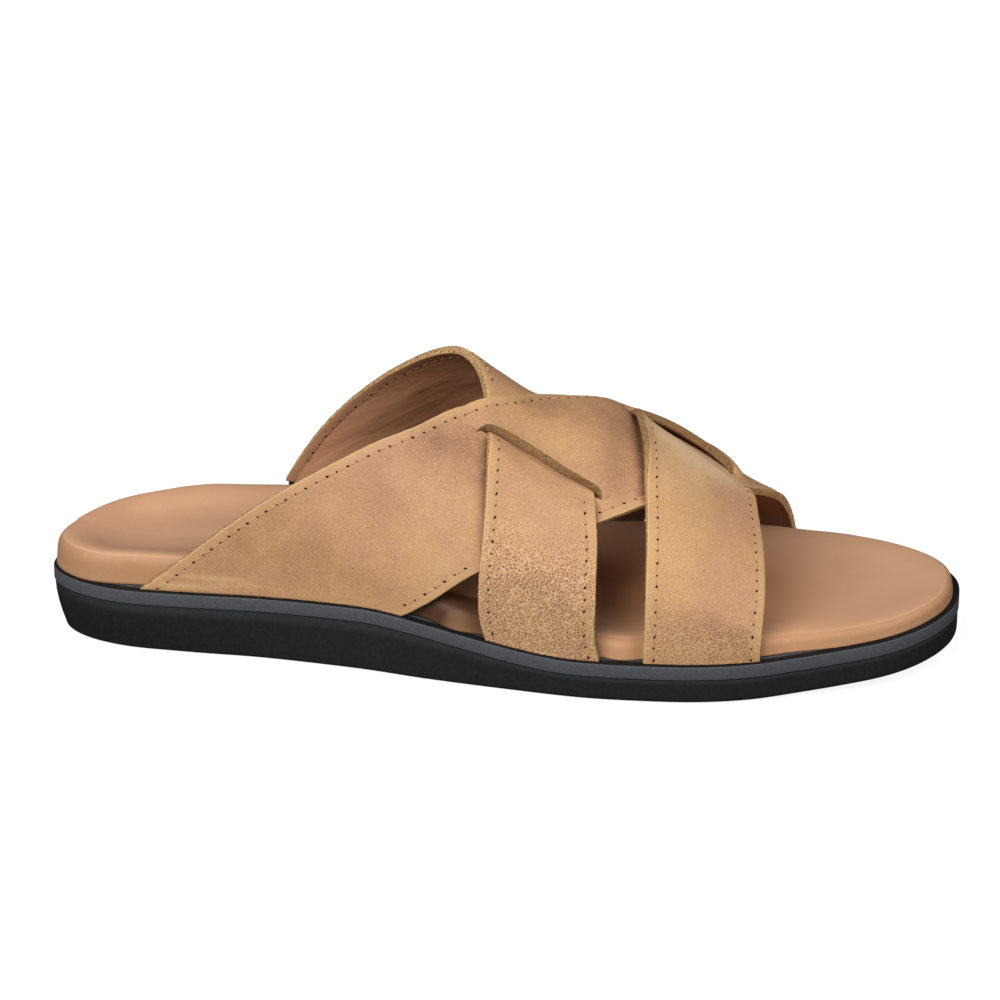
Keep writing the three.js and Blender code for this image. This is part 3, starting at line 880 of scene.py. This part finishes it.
def lip_flare(line, at, over):
    """How far the lip above a slit stands off the tail that comes out under it."""
    v, above = from_line(line, at, over)
    along = np.clip((v - line["v"][0]) / (line["v"][-1] - line["v"][0]), 0, 1)
    return LIP_FLARE * np.sin(math.pi * along) * np.exp(-above / LIP_CURL) * (above > -0.3)


def slotted_lift(at, over, under):
    cover = within(FORKED, at, over)
    flare = (lip_flare(REAR_LINE, at, over) + lip_flare(FRONT_LINE, at, over)) * under
    return LEATHER * under * cover + flare + creases(at, over)


def tail_settles(at, over):
    """1 where a tail lies over the slotted leather's edge, fading to 0 at the sole."""
    return smooth(over / lerp(*TAIL_FOOT, smooth((at - TAILS_PART) / TAILS_BLEND)))


def corner_curl(at, over):
    """The front tail's rear corner stands up beside the end of its slit."""
    from_rear = (at - edge_at(FORKED, "gap_front", over)) * LENGTH
    low, high = CURL_SPAN
    along = smooth((over - low) / CURL_FADES[0]) * smooth((high - over) / CURL_FADES[1])
    on_front_tail = at > edge_at(FORKED, "gap_rear", over) + 0.01
    return CURL * along * np.exp(-np.abs(from_rear) / CURL_WIDTH) * on_front_tail


def forked_lift(at, over):
    rear_down, front_down = (-from_line(line, at, over)[1] for line in (REAR_LINE, FRONT_LINE))
    share = smooth((at - REAR_SLIT[-1][0]) / (FRONT_SLIT[0][0] - REAR_SLIT[-1][0]))
    below = lerp(rear_down / TAIL_CLIMB[0], front_down / TAIL_CLIMB[1], share)
    return LEATHER * smooth(below) * tail_settles(at, over) + corner_curl(at, over) + creases(at, over)


def grid_normals(points, quads):
    """A normal at each point, from the faces round it."""
    q = np.array(quads)
    across_face = np.cross(points[q[:, 2]] - points[q[:, 0]], points[q[:, 3]] - points[q[:, 1]])
    total = np.zeros_like(points)
    for k in range(4):
        np.add.at(total, q[:, k], across_face)
    return unit(total)


def shell(name, inner, quads, looks):
    """A sheet of leather: grain outside, lining inside, and a raw edge that bulges a little."""
    count = len(inner)
    normal = grid_normals(inner, quads)
    top = inner + normal * LEATHER
    edges = {edge for q in quads for edge in zip(q, q[1:] + q[:1])}
    border = sorted((a, b) for a, b in edges if (b, a) not in edges)
    following = dict(border)
    before = {b: a for a, b in border}
    rim = np.array(sorted(following))
    ahead = top[[following[i] for i in rim]] - top[[before[i] for i in rim]]
    outward = unit(np.cross(ahead, normal[rim]))
    place = {int(v): k for k, v in enumerate(rim)}
    points = [top, inner]
    rows = []
    in_slit = (looks["from_edge"][rim] > SLITS_INSIDE) & (inner[rim][:, 2] > SLITS_ABOVE)
    for height, out in EDGE_PROFILE:
        wander = RANDOM.normal(0, EDGE_ROUGHNESS, (len(rim), 1))
        slant = SLIT_SLANT * in_slit[:, None] * (1 - height)
        rows.append(sum(len(p) for p in points))
        points.append(inner[rim] + normal[rim] * LEATHER * height + outward * (out + wander + slant))
    faces = [tuple(q) for q in quads] + [tuple(count + i for i in reversed(q)) for q in quads]
    kinds = [0] * len(quads) + [1] * len(quads)
    for a, b in border:
        left = [a, *(row + place[a] for row in rows), count + a]
        right = [b, *(row + place[b] for row in rows), count + b]
        for k in range(len(left) - 1):
            faces.append((left[k], left[k + 1], right[k + 1], right[k]))
            kinds.append(2)
    piece = add_mesh(name, np.concatenate(points), faces, [LEATHER_LOOK, LINING_LOOK, EDGE_LOOK], kinds)
    for key, values in looks.items():
        turns = [values, values] + [values[rim]] * len(EDGE_PROFILE)
        set_attribute(piece, key, np.concatenate(turns))
    finish_piece(piece, "strap_leather", "upper")
    for side, surface in (("outside", top), ("inside", inner)):
        SURFACES[name, side] = BVHTree.FromPolygons(surface.tolist(), quads)
    add_fibres(name + "_fibres", inner[rim], normal[rim], outward)


FIBRES = 1400
FIBRE_WIDTH = 0.05
FIBRE_LENGTH = (0.3, 0.9)
FIBRE_SPREAD = 0.55  # how far a fibre leans from straight out
FIBRE_ROOT = 0.15  # how far out of the edge a fibre starts


def add_fibres(name, roots, normal, outward):
    """Loose fibres that stand out of a raw edge, each a thin pointed spike."""
    pick = RANDOM.integers(0, len(roots), FIBRES)
    height = RANDOM.uniform(0.05, 1, (FIBRES, 1)) * LEATHER
    start = roots[pick] + normal[pick] * height + outward[pick] * FIBRE_ROOT
    lean = unit(outward[pick] + RANDOM.normal(0, FIBRE_SPREAD, (FIBRES, 3)))
    side = unit(np.cross(lean, normal[pick] + 0.01))
    other = np.cross(lean, side)
    tip = start + lean * RANDOM.uniform(*FIBRE_LENGTH, (FIBRES, 1))
    turns = [2 * math.pi * k / 3 for k in range(3)]
    base = [start + (side * math.cos(t) + other * math.sin(t)) * FIBRE_WIDTH for t in turns]
    points = np.stack([*base, tip], 1).reshape(-1, 3)
    faces = [(4 * i + k, 4 * i + (k + 1) % 3, 4 * i + 3) for i in range(FIBRES) for k in range(3)]
    finish_piece(add_mesh(name, points, faces, [EDGE_LOOK]), "strap_leather")


# Patches where the dye took differently or the leather has wear, and patches of painted shade and painted
# sheen: leather, place (at, over), half length and half height in millimetres, how yellow (1) or pink (-1),
# and how light (1) or dark (-1).
TINT_SHADE_AND_SHEEN_PATCHES = (
    ("slotted", 0.425, 0.12, 20, 14, 1, 0.6),
    ("slotted", 0.43, 0.23, 20, 20, -1, -0.3),
    ("slotted", 0.385, 0.19, 14, 10, -0.8, -0.2),
    ("slotted", 0.3, 0.09, 26, 18, -0.3, -0.3),
    ("slotted", 0.36, 0.07, 22, 9, -0.3, -0.3),
    ("slotted", 0.22, 0.06, 16, 12, 0.3, -0.5),
    ("slotted", 0.19, 0.024, 16, 1.1, 0.8, 1.3),
    ("slotted", 0.165, 0.01, 12, 1.2, 0.8, 1.1),
    ("slotted", 0.225, 0.016, 12, 1.0, 0.8, 0.9),
    ("slotted", 0.535, 0.4, 18, 14, 0.3, 0),
    ("slotted", 0.44, 0.29, 16, 9, -0.3, -0.8),
    # painted shade on the top of the slotted leather
    ("slotted", 0.52, 0.46, 22, 9, -0.2, -0.8),
    ("slotted", 0.55, 0.47, 14, 14, -0.5, 0),
    # painted shade where the slotted leather dips towards the front tail
    ("slotted", 0.6, 0.45, 10, 16, -0.7, -0.5),
    ("slotted", 0.74, 0.7, 26, 18, 0.4, 0.6),
    ("forked", 0.548, 0.26, 20, 18, 0.3, 0.1),
    ("forked", 0.51, 0.2, 12, 12, -0.4, 0.1),
    ("forked", 0.56, 0.13, 24, 8, -0.8, -0.9),
    ("forked", 0.56, 0.03, 24, 8, 0.2, 0.3),
    ("forked", 0.69, 0.4, 14, 18, 1, 0.6),
    # painted sheen on the top of the front tail, in this row and the next
    ("forked", 0.665, 0.53, 16, 10, -0.5, 1.5),
    ("forked", 0.71, 0.52, 20, 9, -0.6, 1.9),
    ("forked", 0.73, 0.43, 12, 12, -0.9, 0),
    ("forked", 0.68, 0.28, 14, 14, 0.5, 0),
    ("forked", 0.74, 0.2, 16, 16, -0.3, 0.1),
    ("forked", 0.73, 0.09, 26, 9, 0.1, -1.0),
    ("forked", 0.4, 0.7, 30, 16, -0.3, -0.2),
)
# Shade on the slotted leather beside a tail's rear edge: the edge, lowest and highest over, reach and depth.
SHADES = (("rear", 0.09, 0.35, 1.6, 1.5), ("gap_front", 0.3, 0.6, 2.4, 2.0))
SHADE_FADE = 0.03
COARSE_TAILS = 0.64  # at between the rear tail, whose grain is coarser, and the front one
FRONT_COARSENESS = 0.6
# Painted shade on the front tail's raw rear edge: how much, and over what width.
EDGE_SHADE = 0.75
EDGE_SHADE_WIDTH = 2
# Where the lining is painted paler: painted light near the heel, and a paler lining towards the toe.
LINING_LIT_BEHIND = 0.4
LINING_PALE_BEFORE = 0.7
TOE_LINING_PALE = 0.35


def looks_at(leather, at, over, edge):
    """How yellow, light, coarse and pale the leather is at each place, with painted shade, sheen and light
    among these, how much painted shade its raw edge has, and how far from an edge.
    """
    yellow, light = np.zeros(at.shape), np.zeros(at.shape)
    for piece, patch_at, patch_over, long, high, yellows, lightens in TINT_SHADE_AND_SHEEN_PATCHES:
        if piece == leather:
            along = (at - patch_at) * LENGTH / long
            up = (over - patch_over) * girth(at) / high
            weight = np.exp(-(along**2) - up**2)
            yellow += yellows * weight
            light += lightens * weight
    coarse, edge_shade = np.zeros(at.shape), np.zeros(at.shape)
    if leather == "forked":
        # Painted shade on the raw edge at the front tail's rear corner, where it faces away from the light.
        from_tail = np.abs(at - edge_at(FORKED, "gap_front", over)) * LENGTH
        edge_shade = EDGE_SHADE * smooth((over - 0.36) / 0.08) * (from_tail < EDGE_SHADE_WIDTH)
        rear_tail = smooth((0.25 - over) / 0.11) * smooth((COARSE_TAILS - at) / 0.02)
        front_tail = FRONT_COARSENESS * smooth((0.18 - over) / 0.12) * smooth((at - COARSE_TAILS) / 0.02)
        coarse = rear_tail + front_tail
        # Painted light on the lining near the heel.
        pale = smooth((LINING_LIT_BEHIND - at) / 0.16)
    else:
        pale = TOE_LINING_PALE * smooth((at - LINING_PALE_BEFORE) / 0.04)
        for tail_edge, low, high, reach, depth in SHADES:
            away = (edge_at(FORKED, tail_edge, over) - at) * LENGTH
            inside = smooth((over - low) / SHADE_FADE) * smooth((high - over) / SHADE_FADE)
            light -= depth * inside * np.exp(-np.abs(away) / reach)
    tints = {"yellow": yellow, "light": light, "coarse": coarse, "pale": pale, "edge_shade": edge_shade}
    return tints | {"from_edge": edge}


def from_edges(leather, edges, at, over):
    """Millimetres to the nearest long edge of the leather."""
    nearest = np.full(at.shape, 99.0)
    for edge in edges:
        line = edge_at(leather, edge, over)
        slope = (edge_at(leather, edge, over + 0.01) - line) / 0.01 * LENGTH / girth(at)
        away = np.abs(at - line) * LENGTH / np.sqrt(1 + slope**2)
        joined = edge.startswith("gap") & (over > GAP_END)
        nearest = np.where(joined, nearest, np.minimum(nearest, away))
    return nearest


SURFACES = {}
EDGE_ROUGHNESS = 0.05
SLITS_ABOVE, SLITS_INSIDE = 45, 3  # the slits' lips are higher than this, and further in from an edge
SLIT_SLANT = 0.9  # how much further the lower side of a slit's lip stands out
# Height on the edge as a share of the thickness, and how far it stands out, in millimetres.
EDGE_PROFILE = ((0.95, 0.1), (0.82, 0.2), (0.6, 0.26), (0.4, 0.25), (0.2, 0.18), (0.06, 0.08))
LEATHER_ROWS = 300
SLOTTED_COLUMNS = 110
ROWS_BENT = 0.12  # share of the rows, each side of a slit's row, that bend to it
ROWS_PULLED = 7  # rows below a slit that its lower lip draws down
STEP_SHARE = 1 / 25  # share of a slit's length over which the step opens
ABOVE_LIP = 0.003


def slotted_piece():
    ways = np.linspace(0, 1, LEATHER_ROWS + 1)
    v = np.linspace(0, 1, SLOTTED_COLUMNS + 1)
    way, v = np.meshgrid(ways, v, indexing="ij")
    over = way.copy()
    seams = []
    for line in (REAR_LINE, FRONT_LINE):
        middle = round(float(line["over"].mean()) * LEATHER_ROWS)
        near = smooth(1 - np.abs(way - middle / LEATHER_ROWS) / ROWS_BENT)
        over = over + near * (curve(line, "v", "over", v) - middle / LEATHER_ROWS)
        first, last = np.searchsorted(v[0], [line["v"][0], line["v"][-1]])
        seams.append((middle, int(first), int(last)))
    at = slotted_at(over, v)
    under = fork_is_under(at, over)
    for row, first, last in seams:
        span = slice(first + 1, last)
        share = np.linspace(0, 1, last - first + 1)[1:-1]
        opened = smooth(share / STEP_SHARE) * smooth((1 - share) / STEP_SHARE)
        under[row, span] = lerp(0.5, fork_is_under(at[row, span], over[row, span] + ABOVE_LIP), opened)
    index = np.arange(at.size).reshape(at.shape)
    lower = index.copy()
    extra_at, extra_over = [], []
    for row, first, last in seams:
        span = np.arange(first + 1, last)
        lower[row, span] = at.size + len(extra_at) + np.arange(len(span))
        opening = SLIT_OPENING * np.sqrt(np.sin(np.linspace(0, math.pi, last - first + 1))[1:-1])
        drop = opening / girth(at[row, span])
        extra_over += list(over[row, span] - drop)
        extra_at += list(slotted_at(over[row, span] - drop, v[0, span]))
        for k in range(1, ROWS_PULLED):
            over[row - k, span] -= (1 - k / ROWS_PULLED) ** 1.5 * drop
    at = slotted_at(over, v)
    flat_at = np.concatenate([at.ravel(), extra_at])
    flat_over = np.concatenate([over.ravel(), extra_over])
    under_below = fork_is_under(np.array(extra_at), np.array(extra_over))
    flat_under = np.concatenate([under.ravel(), under_below])
    lift = slotted_lift(flat_at, flat_over, flat_under)
    inner = last_point(flat_at, flat_over) + last_normal(flat_at, flat_over) * lift[:, None]
    quads = []
    for r in range(LEATHER_ROWS):
        tops = lower[r + 1]
        for c in range(SLOTTED_COLUMNS):
            quads.append((index[r, c], index[r, c + 1], tops[c + 1], tops[c]))
    edge = from_edges(SLOTTED, ("rear", "front"), flat_at, flat_over)
    looks = looks_at("slotted", flat_at, flat_over, edge)
    shell("slotted_leather", inner, [tuple(map(int, q)) for q in quads], looks)


TAIL_COLUMNS = 50
GAP_COLUMNS = 10
DRAWN_IN_ABOVE = 0.75  # the rows above this place give way to the elastic
FORK_EDGES = ("rear", "gap_rear", "gap_front", "front")


def elastic_height(at):
    along = (at - ELASTIC_START) / (ELASTIC_END - ELASTIC_START)
    return ELASTIC_HEIGHT * lerp(1, ELASTIC_LOW_END, np.maximum(along, 0))


def above_elastic(at, over):
    """Draws the rows near the medial foot in, so that the leather ends where the elastic starts."""
    end = over_at_rise(at, elastic_height(at) + SEAT_GAP)
    end = lerp(end, 1, smooth((at - ELASTIC_END) * LENGTH / 2))
    share = np.maximum(over - DRAWN_IN_ABOVE, 0) / (1 - DRAWN_IN_ABOVE)
    return np.where(over > DRAWN_IN_ABOVE, lerp(DRAWN_IN_ABOVE, end, share), over)


def forked_piece():
    way = np.linspace(0, 1, LEATHER_ROWS + 1)[:, None]
    tail = np.linspace(0, 1, TAIL_COLUMNS + 1)
    gap = np.linspace(0, 1, GAP_COLUMNS + 1)[1:-1]
    over = np.broadcast_to(way, (LEATHER_ROWS + 1, 2 * TAIL_COLUMNS + GAP_COLUMNS + 1))
    for _ in range(6):
        rear, gap_rear, gap_front, front = (edge_at(FORKED, e, over) for e in FORK_EDGES)
        at = np.concatenate(
            [
                lerp(rear[:, : TAIL_COLUMNS + 1], gap_rear[:, : TAIL_COLUMNS + 1], tail),
                lerp(gap_rear[:, : GAP_COLUMNS - 1], gap_front[:, : GAP_COLUMNS - 1], gap),
                lerp(gap_front[:, : TAIL_COLUMNS + 1], front[:, : TAIL_COLUMNS + 1], tail),
            ],
            axis=1,
        )
        over = above_elastic(at, np.broadcast_to(way, at.shape))
    flat_at, flat_over = at.ravel(), over.ravel()
    lift = forked_lift(flat_at, flat_over)
    inner = last_point(flat_at, flat_over) + last_normal(flat_at, flat_over) * lift[:, None]
    index = np.arange(at.size).reshape(at.shape)
    quads = []
    for r in range(LEATHER_ROWS):
        for c in range(at.shape[1] - 1):
            is_gap = TAIL_COLUMNS <= c < TAIL_COLUMNS + GAP_COLUMNS
            if is_gap and over[r, c] < GAP_END:
                continue
            quads.append((index[r, c], index[r, c + 1], index[r + 1, c + 1], index[r + 1, c]))
    edge = from_edges(FORKED, FORK_EDGES, flat_at, flat_over)
    looks = looks_at("forked", flat_at, flat_over, edge)
    shell("forked_leather", inner, [tuple(map(int, q)) for q in quads], looks)


ELASTIC_ALONG = 120
ELASTIC_UP = 12
RIB_DEPTH = 0.12
RIB_STEPS = 5


def elastic_piece():
    """Ribbed elastic between the leather's medial corner and the sole."""
    start = edge_at(FORKED, "rear", over_at_rise(ELASTIC_START, ELASTIC_HEIGHT))
    at, share = np.meshgrid(
        np.linspace(start, ELASTIC_END, ELASTIC_ALONG + 1), np.linspace(0, 1, ELASTIC_UP + 1), indexing="ij"
    )
    over = lerp(1, over_at_rise(at, elastic_height(at)), share)
    rib = RIB_DEPTH * np.cos(2 * math.pi * np.arange(ELASTIC_ALONG + 1) / RIB_STEPS)[:, None]
    margin = (LEATHER - ELASTIC_THICKNESS) / 2
    normal = last_normal(at.ravel(), over.ravel())
    base = last_point(at.ravel(), over.ravel())
    ribs = np.broadcast_to(rib, at.shape).ravel()[:, None]
    inner = base + normal * (margin + RIB_DEPTH - ribs)
    outer = base + normal * (margin + ELASTIC_THICKNESS - RIB_DEPTH + ribs)
    index = np.arange(at.size).reshape(at.shape)
    count = at.size
    faces = []
    for i in range(ELASTIC_ALONG):
        for j in range(ELASTIC_UP):
            q = (index[i, j], index[i, j + 1], index[i + 1, j + 1], index[i + 1, j])
            faces.append(q)
            faces.append(tuple(count + k for k in reversed(q)))
    loop = [*index[:, 0], *index[-1, 1:], *index[-2::-1, -1], *index[0, -2:0:-1]]
    for a, b in zip(loop, loop[1:] + loop[:1]):
        faces.append((a, b, count + b, count + a))
    piece = add_mesh("elastic_band", np.concatenate([inner, outer]), faces, [ELASTIC_LOOK])
    finish_piece(piece, "gore_elastic", "elastic_gore")


slotted_piece()
forked_piece()
elastic_piece()


# Stitches. A line of them runs beside an edge; its holes are dark and its thread lies between them.
STITCH_PITCH = 3.7
THREAD_RADIUS = 0.17
FAINTER = 0.25  # how much smaller every second hole is
HOLE = (0.56, 0.35)  # half length and half width


def beside_edge(leather, edge, low, high, inset, steps=400):
    """Places along an edge, moved across the leather by the inset. A positive inset moves towards the toe."""
    over = np.linspace(low, high, steps)
    at = edge_at(leather, edge, over)
    here = last_point(at, over)
    along = np.gradient(here, axis=0)
    normal = last_normal(at, over)
    sideways = unit(np.cross(normal, along)) * -1
    sideways *= np.sign(sideways[:, :1])
    per_at = (last_point(at + 0.001, over) - here) / 0.001
    per_over = (last_point(at, over + 0.001) - here) / 0.001
    wanted = sideways * inset
    aa, ao, oo = (per_at**2).sum(1), (per_at * per_over).sum(1), (per_over**2).sum(1)
    wa, wo = (wanted * per_at).sum(1), (wanted * per_over).sum(1)
    scale = aa * oo - ao**2
    return at + (wa * oo - wo * ao) / scale, over + (wo * aa - wa * ao) / scale


def settle(surface, at, over, lift):
    """Points and normals on a leather's surface nearest to places on it."""
    tree = SURFACES[surface]
    guesses = last_point(at, over) + last_normal(at, over) * lift
    found = [tree.find_nearest(Vector(p)) for p in guesses]
    points = np.array([f[0] for f in found])
    normals = np.array([f[1] for f in found])
    if surface[1] == "inside":
        normals = -normals
    return points, normals


def evenly(points, pitch):
    """Indices at which a path of points is cut into steps of about the pitch."""
    steps = np.linalg.norm(np.diff(points, axis=0), axis=1)
    run = np.concatenate([[0], np.cumsum(steps)])
    count = max(int(run[-1] / pitch), 1)
    return np.clip(np.searchsorted(run, np.linspace(0, run[-1], count + 1)), 0, len(points) - 1)


class Stitches:
    """Collects the holes and the threads, each as one mesh."""

    def __init__(self):
        self.holes, self.hole_faces = [], []
        self.threads, self.thread_faces, self.inside = [], [], []

    def hole(self, point, along, normal, size):
        side = np.cross(normal, along)
        slant = unit(along - 0.4 * side)
        across_it = np.cross(normal, slant)
        start = len(self.holes)
        centre = point + normal * 0.05
        self.holes.append(centre)
        for k in range(10):
            turn = 2 * math.pi * k / 10
            reach = slant * HOLE[0] * math.cos(turn) + across_it * HOLE[1] * math.sin(turn)
            self.holes.append(centre + reach * size)
        for k in range(10):
            self.hole_faces.append((start, start + 1 + k, start + 1 + (k + 1) % 10))

    def thread(self, first, last, normal, inside):
        along = unit(last - first)
        side = np.cross(normal, along)
        start = len(self.threads)
        for share in np.linspace(0, 1, 7):
            arch = math.sin(math.pi * share)
            centre = lerp(first, last, share) + normal * (0.16 * arch - 0.06)
            for k in range(6):
                turn = 2 * math.pi * k / 6
                rim = side * math.cos(turn) + normal * math.sin(turn)
                self.threads.append(centre + rim * THREAD_RADIUS * (0.55 + 0.45 * arch))
                self.inside.append(float(inside))
        for ring_index in range(6):
            for k in range(6):
                a = start + ring_index * 6 + k
                b = start + ring_index * 6 + (k + 1) % 6
                self.thread_faces.append((a, b, b + 6, a + 6))

    def line(self, surface, at, over, lift=LEATHER):
        points, normals = settle(surface, at, over, lift)
        marks = evenly(points, STITCH_PITCH)
        for k, mark in enumerate(marks):
            ahead = marks[min(k + 1, len(marks) - 1)]
            behind = marks[max(k - 1, 0)]
            along = unit(points[ahead] - points[behind])
            size = RANDOM.uniform(0.9, 1.1) - FAINTER * (k % 2)
            self.hole(points[mark] + along * RANDOM.normal(0, 0.12), along, normals[mark], size)
            if k + 1 < len(marks):
                gap = points[ahead] - points[mark]
                start = points[mark] + gap * 0.14
                end = points[mark] + gap * 0.86
                self.thread(start, end, unit(normals[mark] + normals[ahead]), surface[1] == "inside")


def stitching():
    sewn = Stitches()
    slotted, forked = ("slotted_leather", "outside"), ("forked_leather", "outside")
    sewn.line(slotted, *beside_edge(SLOTTED, "rear", 0.012, 0.62, 2.9))
    sewn.line(slotted, *beside_edge(SLOTTED, "front", 0.012, 0.105, -2.7))
    sewn.line(slotted, *beside_edge(SLOTTED, "front", 0.255, 0.32, -2.7))
    sewn.line(slotted, *beside_edge(SLOTTED, "front", 0.6, 0.985, -2.7))
    sewn.line(slotted, *beside_edge(SLOTTED, "rear", 0.66, 0.985, 2.7))
    sewn.line(forked, *beside_edge(FORKED, "rear", 0.012, 0.325, 2.9), lift=LEATHER * 1.6)
    sewn.line(forked, *beside_edge(FORKED, "gap_rear", 0.012, 0.275, -2.7), lift=LEATHER * 1.6)
    sewn.line(forked, *beside_edge(FORKED, "gap_front", 0.012, 0.52, 3.0), lift=LEATHER * 1.6)
    sewn.line(forked, *beside_edge(FORKED, "front", 0.012, 0.5, -2.7), lift=LEATHER * 1.6)
    sewn.line(forked, *beside_edge(FORKED, "rear", 0.46, 0.9, 2.7))
    inside = ("forked_leather", "inside")
    sewn.line(inside, *beside_edge(FORKED, "rear", 0.46, 0.93, 2.6), lift=0)
    holes = add_mesh("stitch_holes", np.array(sewn.holes), sewn.hole_faces, [HOLE_LOOK])
    threads = add_mesh("stitch_threads", np.array(sewn.threads), sewn.thread_faces, [THREAD_LOOK])
    set_attribute(threads, "inside", sewn.inside)
    for piece in (holes, threads):
        finish_piece(piece, "strap_leather")


stitching()


# Stage, light and camera.
FLOOR_REACH = 9000
FLOOR_DROP = 0.4
FLOOR_GLOW = 0.87
LIT_PLACE = (0, 0, 30)
# The world's strength rises with the height of the direction.
SKY = {"From Min": -0.4, "From Max": 0.5, "To Min": 0.55, "To Max": 2.0}


def floor():
    corners = ((-1, -1), (1, -1), (1, 1), (-1, 1))
    points = np.array([(x * FLOOR_REACH, y * FLOOR_REACH, -FLOOR_DROP) for x, y in corners])
    material = new_material("floor_paper", (0.3, 0.3, 0.3), 0.9)
    shader = material.node_tree.nodes["Principled BSDF"]
    shader.inputs["Emission Color"].default_value = (1, 1, 1, 1)
    shader.inputs["Emission Strength"].default_value = FLOOR_GLOW
    sheet = add_mesh("floor_sheet", points, [(0, 1, 2, 3)], [material])
    sheet.visible_diffuse = False
    sheet.visible_glossy = False


def look_from(thing, place, target):
    """Turns a light or camera at a place, in millimetres, to look at a target."""
    thing.location = Vector(place) * MM
    gaze = Vector(target) - Vector(place)
    thing.rotation_euler = gaze.to_track_quat("-Z", "Y").to_euler()
    bpy.context.scene.collection.objects.link(thing)


def area_light(name, place, target, size, power):
    light = bpy.data.lights.new(name, "AREA")
    light.size = size * MM
    light.energy = power
    look_from(bpy.data.objects.new(name, light), place, target)


VIEW_TURN = math.radians(7)
VIEW_RISE = math.radians(23)
VIEW_DISTANCE = 1300
VIEW_TARGET = (-1.8, -3.65, 44.4)
VIEW_LENS = 146.8


def camera():
    data = bpy.data.cameras.new("front_view")
    data.sensor_width = 36
    data.lens = VIEW_LENS
    data.clip_start = 0.05
    data.clip_end = 60
    back = (
        math.sin(VIEW_TURN) * math.cos(VIEW_RISE),
        -math.cos(VIEW_TURN) * math.cos(VIEW_RISE),
        math.sin(VIEW_RISE),
    )
    place = [t + VIEW_DISTANCE * b for t, b in zip(VIEW_TARGET, back)]
    view = bpy.data.objects.new("front_view", data)
    look_from(view, place, VIEW_TARGET)
    bpy.context.scene.camera = view


def daylight():
    world = bpy.data.worlds.new("white_room")
    world.use_nodes = True
    background = world.node_tree.nodes["Background"]
    tree = world.node_tree
    place = tree.nodes.new("ShaderNodeTexCoord")
    split = tree.nodes.new("ShaderNodeSeparateXYZ")
    fade = tree.nodes.new("ShaderNodeMapRange")
    for name, value in SKY.items():
        fade.inputs[name].default_value = value
    tree.links.new(place.outputs["Generated"], split.inputs[0])
    tree.links.new(split.outputs["Z"], fade.inputs["Value"])
    tree.links.new(fade.outputs["Result"], background.inputs["Strength"])
    bpy.context.scene.world = world
    bpy.context.scene.view_settings.view_transform = "Standard"


floor()
area_light("key_light", (-700, -1200, 1000), LIT_PLACE, 1500, 30)
area_light("fill_light", (1100, -600, 1000), LIT_PLACE, 1200, 13)
camera()
daylight()
